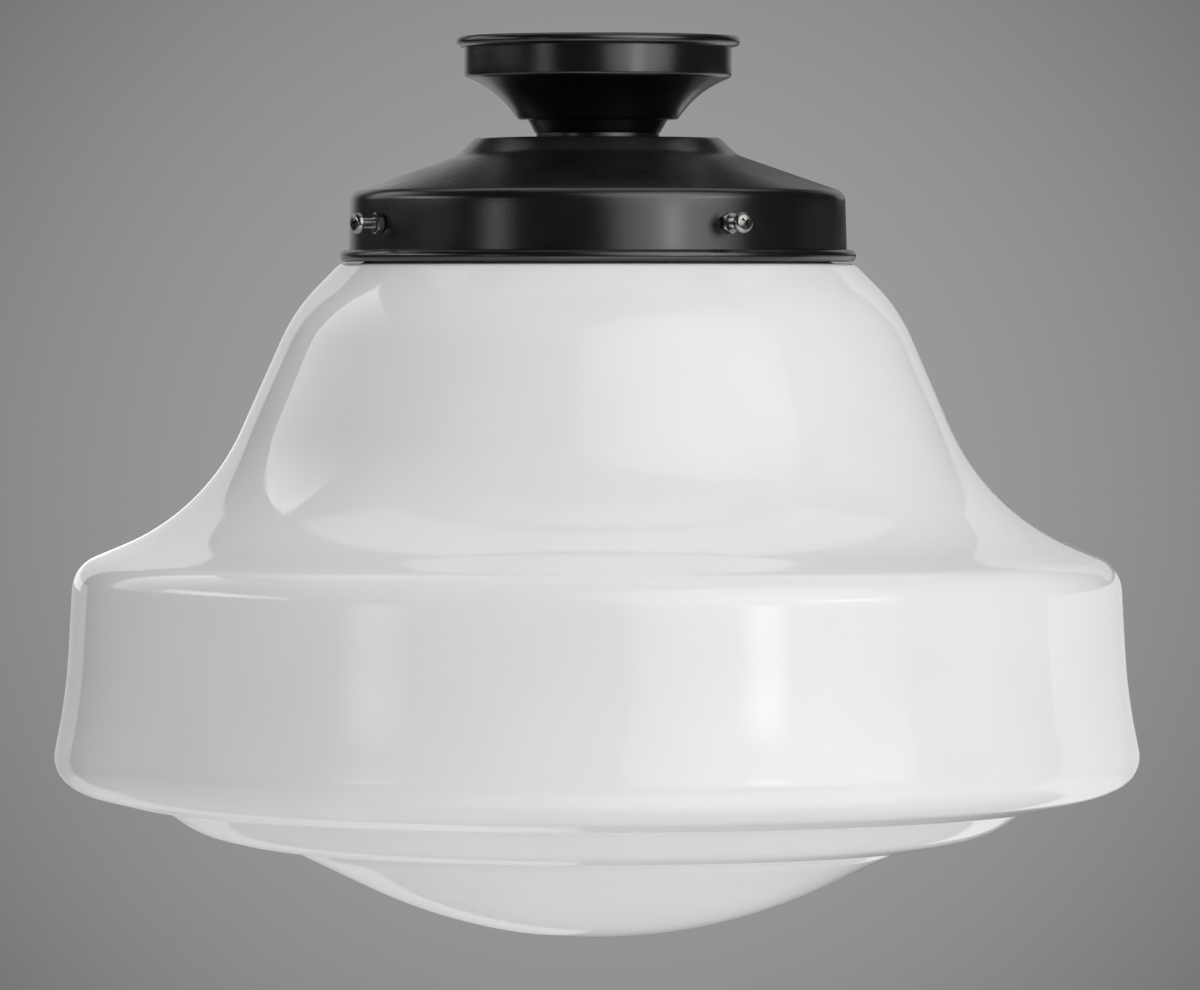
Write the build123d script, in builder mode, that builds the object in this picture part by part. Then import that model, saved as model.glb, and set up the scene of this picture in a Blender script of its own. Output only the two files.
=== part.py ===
from build123d import *

import os
from math import cos, radians, sin, sqrt, tan

# Semi flush ceiling light: a spun canopy and shade holder in black, and an opal blown-glass shade
# that hangs on four set screws. Millimetres, +Z up. The origin is the middle of the ceiling plane,
# so the whole light hangs below z = 0, and -Y is the front.

# ---- ceiling strap and its hardware ----
strap_width = 25.4
strap_thickness = 1.6
strap_end_round = 4.0
box_screw_spacing_least = 69.85
box_screw_spacing_most = 88.9
box_slot_width = 4.8
ground_screw_place = 17.0
ground_screw_radius = 2.4
ground_head_across_flats = 7.9
ground_head_height = 3.0
ground_head_chamfer = 0.4

# ---- threaded nipple (1/8 in lamp pipe) and what runs on it ----
nipple_radius = 5.14
nipple_bore_radius = 3.5
nipple_tail = 2.5
nipple_chamfer = 0.5
locknut_across_flats = 14.3
locknut_thickness = 3.2
washer_radius = 9.5
washer_thickness = 1.0
washer_teeth = 12
washer_notch_width = 1.6
washer_notch_cut = 3.6

# ---- spun canopy ----
canopy_wall = 1.0
canopy_bead_diameter = 4.5
canopy_band_radius = 56.5
canopy_band_height = 17.2
canopy_band_round = 2.0
cove_radius = 43.0
cove_height = 22.85
cove_round = 41.0
foot_radius = 33.7
foot_height = 34.95
foot_round = 1.3
collar_top_radius = 29.6
collar_bottom_radius = 26.3
collar_round = 1.3
canopy_height = 40.7

# ---- spacer disc between canopy and shade holder ----
spacer_radius = 26.1
spacer_thickness = 2.1

# ---- spun shade holder, or fitter: heights are below its own flat top ----
fitter_wall = 1.2
fitter_bead_diameter = 5.0
crown_radius = 51.6
crown_round = 1.5
flare_radius = 58.6
flare_height = 7.0
flare_round = 4.0
skirt_top_radius = 104.3
skirt_top_height = 22.9
skirt_round = 4.0
skirt_bottom_radius = 105.1
fitter_height = 52.0
curl_angle = 290.0

# ---- set screws (#8-32) with their jam nuts ----
screw_count = 4
first_screw_angle = -59.0
screw_height_over_rim = 15.9
screw_radius = 2.08
screw_tip_radius = 97.0
screw_length = 18.0
screw_point = 0.6
screw_head_radius = 4.4
screw_head_height = 2.9
screw_head_round = 2.0
jam_nut_across_flats = 7.94
jam_nut_thickness = 2.8
boss_radius = 4.6
boss_depth = 2.6

# ---- blown opal shade: heights are below its ledge, radii are of the outer surface ----
shade_wall = 3.5
lip_radius = 100.0
lip_thickness = 5.0
lip_round = 1.8
neck_radius = 95.0
neck_round = 6.0
ledge_radius = 108.3
ledge_round = 5.0
shoulder_radius = 127.4
shoulder_height = 19.3
shoulder_round = 75.0
flare_foot_radius = 165.1
flare_foot_height = 104.1
flare_foot_round = 94.0
drum_top_radius = 220.5
drum_top_height = 127.0
drum_top_round = 15.0
drum_waist_radius = 223.5
drum_waist_height = 180.0
drum_waist_round = 240.0
rim_radius = 230.0
rim_height = 212.8
rim_round = 16.0
heel_radius = 218.9
heel_height = 221.2
heel_round = 26.0
sole_radius = 195.0
sole_height = 227.0
sole_round = 30.0
first_groove_radius = 185.0
first_groove_height = 227.3
groove_round = 2.0
step_radius = 169.0
step_height = 238.6
step_round = 40.0
step_sole_radius = 149.0
step_sole_height = 243.2
second_groove_radius = 129.8
second_groove_height = 243.8
dome_edge_radius = 125.4
dome_edge_height = 248.1
dome_edge_round = 6.0
dome_crown_radius = 52.0
dome_height = 283.6
dome_round = 237.0

# ---- lamp socket and its yoke ----
yoke_thickness = 1.5
yoke_width = 16.0
yoke_height = 13.3
yoke_leg_place = 11.0
yoke_foot_length = 9.0
yoke_round = 1.5
yoke_foot_round = 0.75
socket_radius = 21.0
socket_length = 40.0
socket_waist_radius = 19.0
socket_shoulder_height = 13.0
socket_mouth_height = 5.0
socket_flare_height = 10.0
socket_edge_round = 1.5
socket_cavity_radius = 14.4
socket_cavity_depth = 27.0
socket_screw_place = 15.8
socket_screw_radius = 1.9
socket_screw_length = 12.0
socket_head_radius = 3.6
socket_head_height = 2.2
socket_head_round = 1.1
terminal_place = 14.5
terminal_head_radius = 3.3
terminal_head_height = 2.4
terminal_head_round = 0.8
terminal_shank_radius = 1.6
terminal_shank_length = 6.0
shell_wall = 0.5
shell_length = 24.0
shell_round = 1.0
contact_width = 6.0
contact_length = 15.0
contact_return = 11.2
contact_thickness = 0.6
contact_spring_drop = 2.6

# ---- lamp ----
lamp_base_radius = 13.1
lamp_base_length = 25.0
lamp_base_wall = 0.4
lamp_tip_radius = 4.6
lamp_tip_height = 1.4
lamp_tip_round = 0.7
lamp_base_taper = 4.2
lamp_neck_radius = 12.4
lamp_neck_overlap = 4.0
lamp_neck_length = 8.0
lamp_bulb_radius = 30.0
lamp_shoulder_height = 48.0
lamp_length = 110.0
lamp_wall = 0.8

# ---- clearances ----
pipe_hole_clearance = 0.25
thread_clearance = 0.05
lip_clearance = 0.3
rim_gap = 0.8
nut_seat_gap = 0.2
strap_end_clearance = 1.0
lamp_clearance = 0.1
lamp_contact_gap = 0.2
shell_clearance = 0.1

# ---- limits of the rounded sections ----
run_share = 0.98
least_round = 0.1

# ---- levels of the stack, downwards from the ceiling ----
spacer_top = -canopy_height
fitter_top = spacer_top - spacer_thickness
fitter_rim = fitter_top - fitter_height
screw_level = fitter_rim + screw_height_over_rim
washer_top = fitter_top - fitter_wall
locknut_top = washer_top - washer_thickness
yoke_top = locknut_top - locknut_thickness
socket_top = yoke_top - yoke_height
socket_mouth = socket_top - socket_length
cavity_top = socket_mouth + socket_cavity_depth
lip_bottom = screw_level + screw_radius + lip_clearance
lip_top = lip_bottom + lip_thickness
ledge_level = fitter_rim - rim_gap
pipe_hole_radius = nipple_radius + pipe_hole_clearance
pipe_thread_radius = nipple_radius + thread_clearance
screw_thread_radius = screw_radius + thread_clearance
screw_angles = [first_screw_angle + 360.0 * turn / screw_count for turn in range(screw_count)]

os.makedirs("parts", exist_ok=True)


def softened(corners, wished_radii):
    """The radius of each inner corner, held to what its two runs leave room for."""
    runs = [after - before for before, after in zip(corners, corners[1:])]
    half_turns = [radians(way_in.get_angle(way_out)) / 2 for way_in, way_out in zip(runs, runs[1:])]
    reaches = [radius * tan(half_turn) for radius, half_turn in zip(wished_radii, half_turns)]
    nearer = [0, *reaches]
    farther = [*reaches, 0]
    room = [min(1, run_share * run.length / (near + far)) for run, near, far in zip(runs, nearer, farther)]
    return [radius * min(before, after) for radius, before, after in zip(wished_radii, room, room[1:])]


def sheet_line(skin, skin_radii, wall):
    """The middle line of a sheet whose outer skin runs through the given corners.

    The sheet lies to the right of the skin, seen along it, so the line is moved that way by half
    the wall, and each bend's radius grows or shrinks with it.
    """
    points = [Vector(*corner) for corner in skin]
    ways = [(after - before).normalized() for before, after in zip(points, points[1:])]
    aside = [Vector(way.Y, -way.X) * wall / 2 for way in ways]
    middle = [points[0] + aside[0]]
    middle_radii = []
    for corner, step_in, step_out, radius in zip(points[1:], aside, aside[1:], skin_radii):
        middle.append(corner + (step_in + step_out) / (1 + step_in.dot(step_out) * 4 / wall**2))
        turns_left = step_in.cross(step_out).Z > 0
        middle_radii.append(radius + wall / 2 if turns_left else max(radius - wall / 2, least_round))
    middle.append(points[-1] + aside[-1])
    return FilletPolyline(*middle, radius=softened(middle, middle_radii))


# ---- canopy: one sheet, spun from the ceiling bead down to the hole for the nipple ----
canopy_bead_centre = (
    canopy_band_radius - canopy_wall + canopy_bead_diameter / 2,
    -canopy_bead_diameter / 2,
)
canopy_bead_line = (canopy_bead_diameter - canopy_wall) / 2
canopy_skin = [
    (canopy_band_radius, canopy_bead_centre[1]),
    (canopy_band_radius, -canopy_band_height),
    (cove_radius, -cove_height),
    (foot_radius, -foot_height),
    (collar_top_radius, -foot_height),
    (collar_bottom_radius, -canopy_height),
    (pipe_hole_radius, -canopy_height),
]
canopy_rounds = [canopy_band_round, cove_round, foot_round, collar_round, collar_round]

with BuildPart() as canopy:
    with BuildSketch(Plane.XZ):
        with BuildLine():
            CenterArc(canopy_bead_centre, canopy_bead_line, 180, -curl_angle)
            sheet_line(canopy_skin, canopy_rounds, canopy_wall)
        trace(line_width=canopy_wall)
    revolve(axis=Axis.Z)

canopy.part.label = "canopy"
export_step(canopy.part, "parts/canopy.step")

# ---- spacer disc ----
with BuildPart() as neck_spacer:
    with BuildSketch(Plane.XY.offset(fitter_top)):
        Circle(spacer_radius)
        Circle(pipe_hole_radius, mode=Mode.SUBTRACT)
    extrude(amount=spacer_thickness)

neck_spacer.part.label = "neck_spacer"
export_step(neck_spacer.part, "parts/neck_spacer.step")

# ---- fitter: one sheet, spun from the nipple's hole out to the rolled rim, with tapped bosses ----
fitter_bead_centre = (
    skirt_bottom_radius - fitter_wall + fitter_bead_diameter / 2,
    fitter_rim + fitter_bead_diameter / 2,
)
fitter_bead_line = (fitter_bead_diameter - fitter_wall) / 2
fitter_skin = [
    (pipe_hole_radius, fitter_top),
    (crown_radius, fitter_top),
    (flare_radius, fitter_top - flare_height),
    (skirt_top_radius, fitter_top - skirt_top_height),
    (skirt_bottom_radius, fitter_bead_centre[1]),
]
fitter_rounds = [crown_round, flare_round, skirt_round]
skirt_inside = skirt_bottom_radius - fitter_wall

with BuildPart() as fitter:
    with BuildSketch(Plane.XZ):
        with BuildLine():
            sheet_line(fitter_skin, fitter_rounds, fitter_wall)
            CenterArc(fitter_bead_centre, fitter_bead_line, 180, curl_angle)
        trace(line_width=fitter_wall)
    revolve(axis=Axis.Z)
    for angle in screw_angles:
        outward = Vector(cos(radians(angle)), sin(radians(angle)))
        boss_end = outward * (skirt_inside - boss_depth) + Vector(0, 0, screw_level)
        with BuildSketch(Plane(boss_end, z_dir=outward)):
            Circle(boss_radius)
        extrude(amount=boss_depth + fitter_wall / 2)
        with Locations(Plane(boss_end, z_dir=outward)):
            Hole(screw_thread_radius)

fitter.part.label = "fitter"
export_step(fitter.part, "parts/fitter.step")

# ---- shade: blown in one piece, with the lip that the screw tips hold ----
shade_skin = [
    (neck_radius, lip_top),
    (neck_radius, ledge_level),
    (ledge_radius, ledge_level),
    (shoulder_radius, ledge_level - shoulder_height),
    (flare_foot_radius, ledge_level - flare_foot_height),
    (drum_top_radius, ledge_level - drum_top_height),
    (drum_waist_radius, ledge_level - drum_waist_height),
    (rim_radius, ledge_level - rim_height),
    (heel_radius, ledge_level - heel_height),
    (sole_radius, ledge_level - sole_height),
    (first_groove_radius, ledge_level - first_groove_height),
    (step_radius, ledge_level - step_height),
    (step_sole_radius, ledge_level - step_sole_height),
    (second_groove_radius, ledge_level - second_groove_height),
    (dome_edge_radius, ledge_level - dome_edge_height),
    (dome_crown_radius, ledge_level - dome_height),
    (0, ledge_level - dome_height),
]
shade_rounds = [
    neck_round,
    ledge_round,
    shoulder_round,
    flare_foot_round,
    drum_top_round,
    drum_waist_round,
    rim_round,
    heel_round,
    sole_round,
    groove_round,
    step_round,
    sole_round,
    groove_round,
    dome_edge_round,
    dome_round,
]
lip_width = lip_radius - neck_radius + shade_wall

with BuildPart() as shade:
    with BuildSketch(Plane.XZ):
        with BuildLine():
            sheet_line(shade_skin, shade_rounds, shade_wall)
        trace(line_width=shade_wall)
        with Locations((lip_radius - lip_width / 2, lip_bottom + lip_thickness / 2)):
            RectangleRounded(lip_width, lip_thickness, lip_round)
    revolve(axis=Axis.Z)

shade.part.label = "shade"
export_step(shade.part, "parts/shade.step")

# ---- ceiling strap: slotted for the box screws, tapped for the nipple and the earthing screw ----
box_screw_spacing = (box_screw_spacing_least + box_screw_spacing_most) / 2
box_slot_length = (box_screw_spacing_most - box_screw_spacing_least) / 2 + box_slot_width
canopy_mouth_radius = canopy_band_radius - canopy_wall
strap_length = 2 * sqrt((canopy_mouth_radius - strap_end_clearance) ** 2 - (strap_width / 2) ** 2)

with BuildPart() as mounting_strap:
    with BuildSketch(Plane.XY.offset(-strap_thickness)):
        RectangleRounded(strap_length, strap_width, strap_end_round)
        with Locations((-box_screw_spacing / 2, 0), (box_screw_spacing / 2, 0)):
            SlotOverall(box_slot_length, box_slot_width, mode=Mode.SUBTRACT)
        Circle(pipe_thread_radius, mode=Mode.SUBTRACT)
        with Locations((ground_screw_place, 0)):
            Circle(ground_screw_radius + thread_clearance, mode=Mode.SUBTRACT)
    extrude(amount=strap_thickness)

mounting_strap.part.label = "mounting_strap"
export_step(mounting_strap.part, "parts/mounting_strap.step")

# ---- earthing screw: its hexagon head is under the strap, its shank ends flush on top ----
with BuildPart() as ground_screw:
    with BuildSketch(Plane.XY.offset(-strap_thickness - ground_head_height)):
        with Locations((ground_screw_place, 0)):
            RegularPolygon(ground_head_across_flats / 2, 6, major_radius=False)
    extrude(amount=ground_head_height)
    chamfer(ground_screw.faces().sort_by(Axis.Z)[0].edges(), ground_head_chamfer)
    with BuildSketch(Plane.XY.offset(-strap_thickness)):
        with Locations((ground_screw_place, 0)):
            Circle(ground_screw_radius)
    extrude(amount=strap_thickness)

ground_screw.part.label = "ground_screw"
export_step(ground_screw.part, "parts/ground_screw.step")

# ---- hollow threaded nipple from the ceiling plane to below the yoke's plate ----
nipple_end = yoke_top - yoke_thickness - nipple_tail

with BuildPart() as threaded_nipple:
    with BuildSketch(Plane.XY.offset(nipple_end)):
        Circle(nipple_radius)
    extrude(amount=-nipple_end)
    chamfer(threaded_nipple.edges(), nipple_chamfer)
    Hole(nipple_bore_radius)

threaded_nipple.part.label = "threaded_nipple"
export_step(threaded_nipple.part, "parts/threaded_nipple.step")

# ---- the two hexagon nuts on the nipple ----
for name, nut_top in (("strap_locknut", -strap_thickness), ("fitter_locknut", locknut_top)):
    with BuildPart() as locknut:
        with BuildSketch(Plane.XY.offset(nut_top - locknut_thickness)):
            RegularPolygon(locknut_across_flats / 2, 6, major_radius=False)
            Circle(pipe_thread_radius, mode=Mode.SUBTRACT)
        extrude(amount=locknut_thickness)

    locknut.part.label = name
    export_step(locknut.part, f"parts/{name}.step")

# ---- toothed lock washer ----
with BuildPart() as lock_washer:
    with BuildSketch(Plane.XY.offset(locknut_top)):
        Circle(washer_radius)
        Circle(pipe_hole_radius, mode=Mode.SUBTRACT)
        with PolarLocations(washer_radius, washer_teeth):
            Rectangle(washer_notch_cut, washer_notch_width, mode=Mode.SUBTRACT)
    extrude(amount=washer_thickness)

lock_washer.part.label = "lock_washer"
export_step(lock_washer.part, "parts/lock_washer.step")

# ---- socket yoke: a tapped plate, two legs and two feet, bent from one strip ----
yoke_half = [
    (0, yoke_top),
    (yoke_leg_place, yoke_top),
    (yoke_leg_place, socket_top + yoke_thickness),
    (yoke_leg_place + yoke_foot_length, socket_top + yoke_thickness),
]

with BuildPart() as socket_bracket:
    with BuildSketch(Plane.XZ):
        with BuildLine():
            sheet_line(yoke_half, [yoke_round, yoke_foot_round], yoke_thickness)
        trace(line_width=yoke_thickness)
        mirror(about=Plane.YZ)
    extrude(amount=yoke_width / 2, both=True)
    with Locations((0, 0, yoke_top)):
        Hole(pipe_thread_radius, depth=yoke_thickness)
    with Locations((-socket_screw_place, 0, yoke_top), (socket_screw_place, 0, yoke_top)):
        Hole(socket_screw_radius + pipe_hole_clearance)

socket_bracket.part.label = "socket_bracket"
export_step(socket_bracket.part, "parts/socket_bracket.step")

# ---- porcelain socket body: waisted, with the cavity for the screw shell ----
socket_skin = [
    (0, socket_top),
    (socket_radius, socket_top),
    (socket_radius, socket_top - socket_shoulder_height),
    (socket_waist_radius, socket_top - socket_shoulder_height - socket_mouth_height),
    (socket_waist_radius, socket_mouth + socket_flare_height),
    (socket_radius, socket_mouth + socket_mouth_height),
    (socket_radius, socket_mouth),
    (0, socket_mouth),
]
socket_screw_holes = [(-socket_screw_place, 0, socket_top), (socket_screw_place, 0, socket_top)]
terminal_holes = [(0, -terminal_place, socket_top), (0, terminal_place, socket_top)]

with BuildPart() as socket_body:
    with BuildSketch(Plane.XZ) as socket_section:
        with BuildLine():
            Polyline(*socket_skin, close=True)
        make_face()
        fillet([corner for corner in socket_section.vertices() if corner.X > 0], socket_edge_round)
    revolve(axis=Axis.Z)
    with BuildSketch(Plane.XY.offset(socket_mouth)):
        Circle(socket_cavity_radius)
    extrude(amount=socket_cavity_depth, mode=Mode.SUBTRACT)
    with Locations(*socket_screw_holes):
        Hole(socket_screw_radius + thread_clearance, depth=socket_screw_length)
    with Locations(*terminal_holes):
        Hole(terminal_shank_radius + thread_clearance, depth=terminal_shank_length + thread_clearance)

socket_body.part.label = "socket_body"
export_step(socket_body.part, "parts/socket_body.step")

# ---- the two screws that hold the porcelain to the yoke's feet ----
with BuildPart() as socket_screws:
    with BuildSketch(Plane.XY.offset(socket_top + yoke_thickness)):
        with Locations((-socket_screw_place, 0), (socket_screw_place, 0)):
            Circle(socket_head_radius)
    extrude(amount=socket_head_height)
    fillet(socket_screws.edges().group_by(Axis.Z)[-1], socket_head_round)
    with BuildSketch(Plane.XY.offset(socket_top + yoke_thickness)):
        with Locations((-socket_screw_place, 0), (socket_screw_place, 0)):
            Circle(socket_screw_radius)
    extrude(amount=-socket_screw_length)

socket_screws.part.label = "socket_screws"
export_step(socket_screws.part, "parts/socket_screws.step")

# ---- the two wire terminals ----
with BuildPart() as terminal_screws:
    with BuildSketch(Plane.XY.offset(socket_top)):
        with Locations((0, -terminal_place), (0, terminal_place)):
            Circle(terminal_head_radius)
    extrude(amount=terminal_head_height)
    fillet(terminal_screws.edges().group_by(Axis.Z)[-1], terminal_head_round)
    with BuildSketch(Plane.XY.offset(socket_top)):
        with Locations((0, -terminal_place), (0, terminal_place)):
            Circle(terminal_shank_radius)
    extrude(amount=-terminal_shank_length)

terminal_screws.part.label = "terminal_screws"
export_step(terminal_screws.part, "parts/terminal_screws.step")

# ---- centre contact: a brass leaf folded back under itself ----
contact_skin = [
    (-contact_length / 2, cavity_top),
    (contact_length / 2, cavity_top),
    (contact_length / 2, cavity_top - contact_spring_drop),
    (contact_length / 2 - contact_return, cavity_top - contact_spring_drop),
]
contact_fold = contact_spring_drop / 2

with BuildPart() as centre_contact:
    with BuildSketch(Plane.XZ):
        with BuildLine():
            sheet_line(contact_skin, [contact_fold, contact_fold], contact_thickness)
        trace(line_width=contact_thickness)
    extrude(amount=contact_width / 2, both=True)

centre_contact.part.label = "centre_contact"
export_step(centre_contact.part, "parts/centre_contact.step")

# ---- screw shell of the socket ----
shell_radius = lamp_base_radius + lamp_clearance + shell_wall
shell_hole_radius = sqrt(contact_length**2 + contact_width**2) / 2 + shell_clearance
shell_skin = [
    (shell_hole_radius, cavity_top),
    (shell_radius, cavity_top),
    (shell_radius, cavity_top - shell_length),
]

with BuildPart() as screw_shell:
    with BuildSketch(Plane.XZ):
        with BuildLine():
            sheet_line(shell_skin, [shell_round], shell_wall)
        trace(line_width=shell_wall)
    revolve(axis=Axis.Z)

screw_shell.part.label = "screw_shell"
export_step(screw_shell.part, "parts/screw_shell.step")

# ---- lamp: tip contact, screw base and glass envelope ----
lamp_tip_top = cavity_top - contact_spring_drop - lamp_contact_gap
lamp_base_top = lamp_tip_top - lamp_tip_height
lamp_base_end = lamp_base_top - lamp_base_length
lamp_end = lamp_tip_top - lamp_length

with BuildPart() as bulb_contact:
    with BuildSketch(Plane.XY.offset(lamp_base_top)):
        Circle(lamp_tip_radius)
    extrude(amount=lamp_tip_height)
    fillet(bulb_contact.edges().sort_by(Axis.Z)[-1], lamp_tip_round)

bulb_contact.part.label = "bulb_contact"
export_step(bulb_contact.part, "parts/bulb_contact.step")

lamp_base_skin = [
    (0, lamp_base_top),
    (lamp_tip_radius + lamp_tip_height, lamp_base_top),
    (lamp_base_radius, lamp_base_top - lamp_base_taper),
    (lamp_base_radius, lamp_base_end),
]

with BuildPart() as bulb_base:
    with BuildSketch(Plane.XZ):
        with BuildLine():
            sheet_line(lamp_base_skin, [lamp_tip_height, lamp_tip_height], lamp_base_wall)
        trace(line_width=lamp_base_wall)
    revolve(axis=Axis.Z)

bulb_base.part.label = "bulb_base"
export_step(bulb_base.part, "parts/bulb_base.step")

lamp_skin = [
    (lamp_neck_radius, lamp_base_end + lamp_neck_overlap),
    (lamp_neck_radius, lamp_base_end - lamp_neck_length),
    (lamp_bulb_radius, lamp_end + lamp_shoulder_height),
    (lamp_bulb_radius, lamp_end),
    (0, lamp_end),
]
lamp_rounds = [lamp_bulb_radius, lamp_bulb_radius, lamp_bulb_radius]

with BuildPart() as bulb_glass:
    with BuildSketch(Plane.XZ):
        with BuildLine():
            sheet_line(lamp_skin, lamp_rounds, lamp_wall)
        trace(line_width=lamp_wall)
    revolve(axis=Axis.Z)

bulb_glass.part.label = "bulb_glass"
export_step(bulb_glass.part, "parts/bulb_glass.step")

# ---- set screws and jam nuts, square to the skirt, tips under the shade's lip ----
skirt_top_level = fitter_top - skirt_top_height
skirt_draft = (skirt_bottom_radius - skirt_top_radius) / (skirt_top_level - fitter_bead_centre[1])
skirt_radius_at_screws = skirt_top_radius + skirt_draft * (skirt_top_level - screw_level)
nut_seat_radius = skirt_radius_at_screws + nut_seat_gap
head_seat_radius = screw_tip_radius + screw_length

for number, angle in enumerate(screw_angles, start=1):
    outward = Vector(cos(radians(angle)), sin(radians(angle)))
    screw_axis = Axis((0, 0, screw_level), outward)
    head_seat = Plane(screw_axis.position + outward * head_seat_radius, z_dir=outward)
    nut_seat = Plane(screw_axis.position + outward * nut_seat_radius, x_dir=(0, 0, 1), z_dir=outward)

    with BuildPart() as set_screw:
        with BuildSketch(head_seat):
            Circle(screw_head_radius)
        extrude(amount=screw_head_height)
        fillet(set_screw.edges().sort_by(screw_axis)[-1], screw_head_round)
        with BuildSketch(head_seat):
            Circle(screw_radius)
        extrude(amount=-screw_length)
        chamfer(set_screw.edges().sort_by(screw_axis)[0], screw_point)

    set_screw.part.label = f"set_screw_{number}"
    export_step(set_screw.part, f"parts/set_screw_{number}.step")

    with BuildPart() as jam_nut:
        with BuildSketch(nut_seat):
            RegularPolygon(jam_nut_across_flats / 2, 6, major_radius=False)
            Circle(screw_thread_radius, mode=Mode.SUBTRACT)
        extrude(amount=jam_nut_thickness)

    jam_nut.part.label = f"jam_nut_{number}"
    export_step(jam_nut.part, f"parts/jam_nut_{number}.step")
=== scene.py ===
"""Semi flush ceiling light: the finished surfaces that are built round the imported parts.

Metres, +Z up. The origin is the middle of the ceiling plane, so the light hangs below z = 0, and
-Y is the front. The sizes of each sub-assembly are in millimetres and are scaled once, when its
mesh is finished.
"""

import logging
import math
from collections.abc import Callable, Sequence
from dataclasses import dataclass
from enum import Enum

import bmesh
import bpy
from mathutils import Matrix, Vector


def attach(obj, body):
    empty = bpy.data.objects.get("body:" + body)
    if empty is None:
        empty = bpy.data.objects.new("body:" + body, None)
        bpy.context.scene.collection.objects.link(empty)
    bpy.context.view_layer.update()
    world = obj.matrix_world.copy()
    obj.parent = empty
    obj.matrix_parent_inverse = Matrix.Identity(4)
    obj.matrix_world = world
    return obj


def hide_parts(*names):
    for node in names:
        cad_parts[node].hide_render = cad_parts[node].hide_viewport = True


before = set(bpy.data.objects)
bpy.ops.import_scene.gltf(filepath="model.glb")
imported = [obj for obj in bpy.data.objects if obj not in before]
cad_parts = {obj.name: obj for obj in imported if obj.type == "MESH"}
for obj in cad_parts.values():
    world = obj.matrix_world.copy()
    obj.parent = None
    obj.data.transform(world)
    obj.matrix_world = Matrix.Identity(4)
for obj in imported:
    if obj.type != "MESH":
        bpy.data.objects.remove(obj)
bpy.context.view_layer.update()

LOG = logging.getLogger("ceiling_light")

MM = 0.001
WELD = 1e-4
CUT_WELD = 1e-7
SHARP = 32.0
RIDGE_BURIED = 0.15
RIDGE_SHARES = (0.06, 0.40, 0.54, 0.88)

Point = tuple[float, float]
Colour = tuple[float, float, float, float]


class Body(Enum):
    """The bodies of the light that pieces ride on."""

    FIXTURE = "fixture"
    SHADE = "shade"
    BULB = "bulb"


class Slot(Enum):
    """The record's material slots."""

    BLACK_ENAMEL = "black_enamel"
    OPAL_GLASS = "opal_glass"
    NICKEL = "nickel"
    ZINC_STEEL = "zinc_steel"
    EARTH_GREEN = "earth_green"
    PORCELAIN = "porcelain"
    BRASS = "brass"
    LAMP_GLASS = "lamp_glass"
    LAMP_METAL = "lamp_metal"


# ---------------------------------------------------------------------------
# Drawing and spinning of sections
# ---------------------------------------------------------------------------


def parallel_skin(
    corners: Sequence[Point], rounds: Sequence[float], wall: float
) -> tuple[list[Point], list[float]]:
    """The other skin of a sheet, to the right of the given one, seen along it.

    Args:
        corners: The corners of the given skin.
        rounds: The radius at each inner corner.
        wall: The thickness of the sheet.

    Returns:
        The corners of the other skin and the radius at each of its inner corners.
    """
    points = [Vector(corner) for corner in corners]
    ways = [(after - before).normalized() for before, after in zip(points, points[1:])]
    aside = [Vector((way.y, -way.x)) * wall for way in ways]
    skin = [points[0] + aside[0]]
    skin_rounds = []
    for corner, way_in, way_out, radius in zip(points[1:], aside, aside[1:], rounds):
        skin.append(corner + (way_in + way_out) / (1 + way_in.dot(way_out) / wall**2))
        turns_left = way_in.x * way_out.y - way_in.y * way_out.x > 0
        skin_rounds.append(radius + wall if turns_left else max(radius - wall, 0.0))
    skin.append(points[-1] + aside[-1])
    return [(point.x, point.y) for point in skin], skin_rounds


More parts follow.
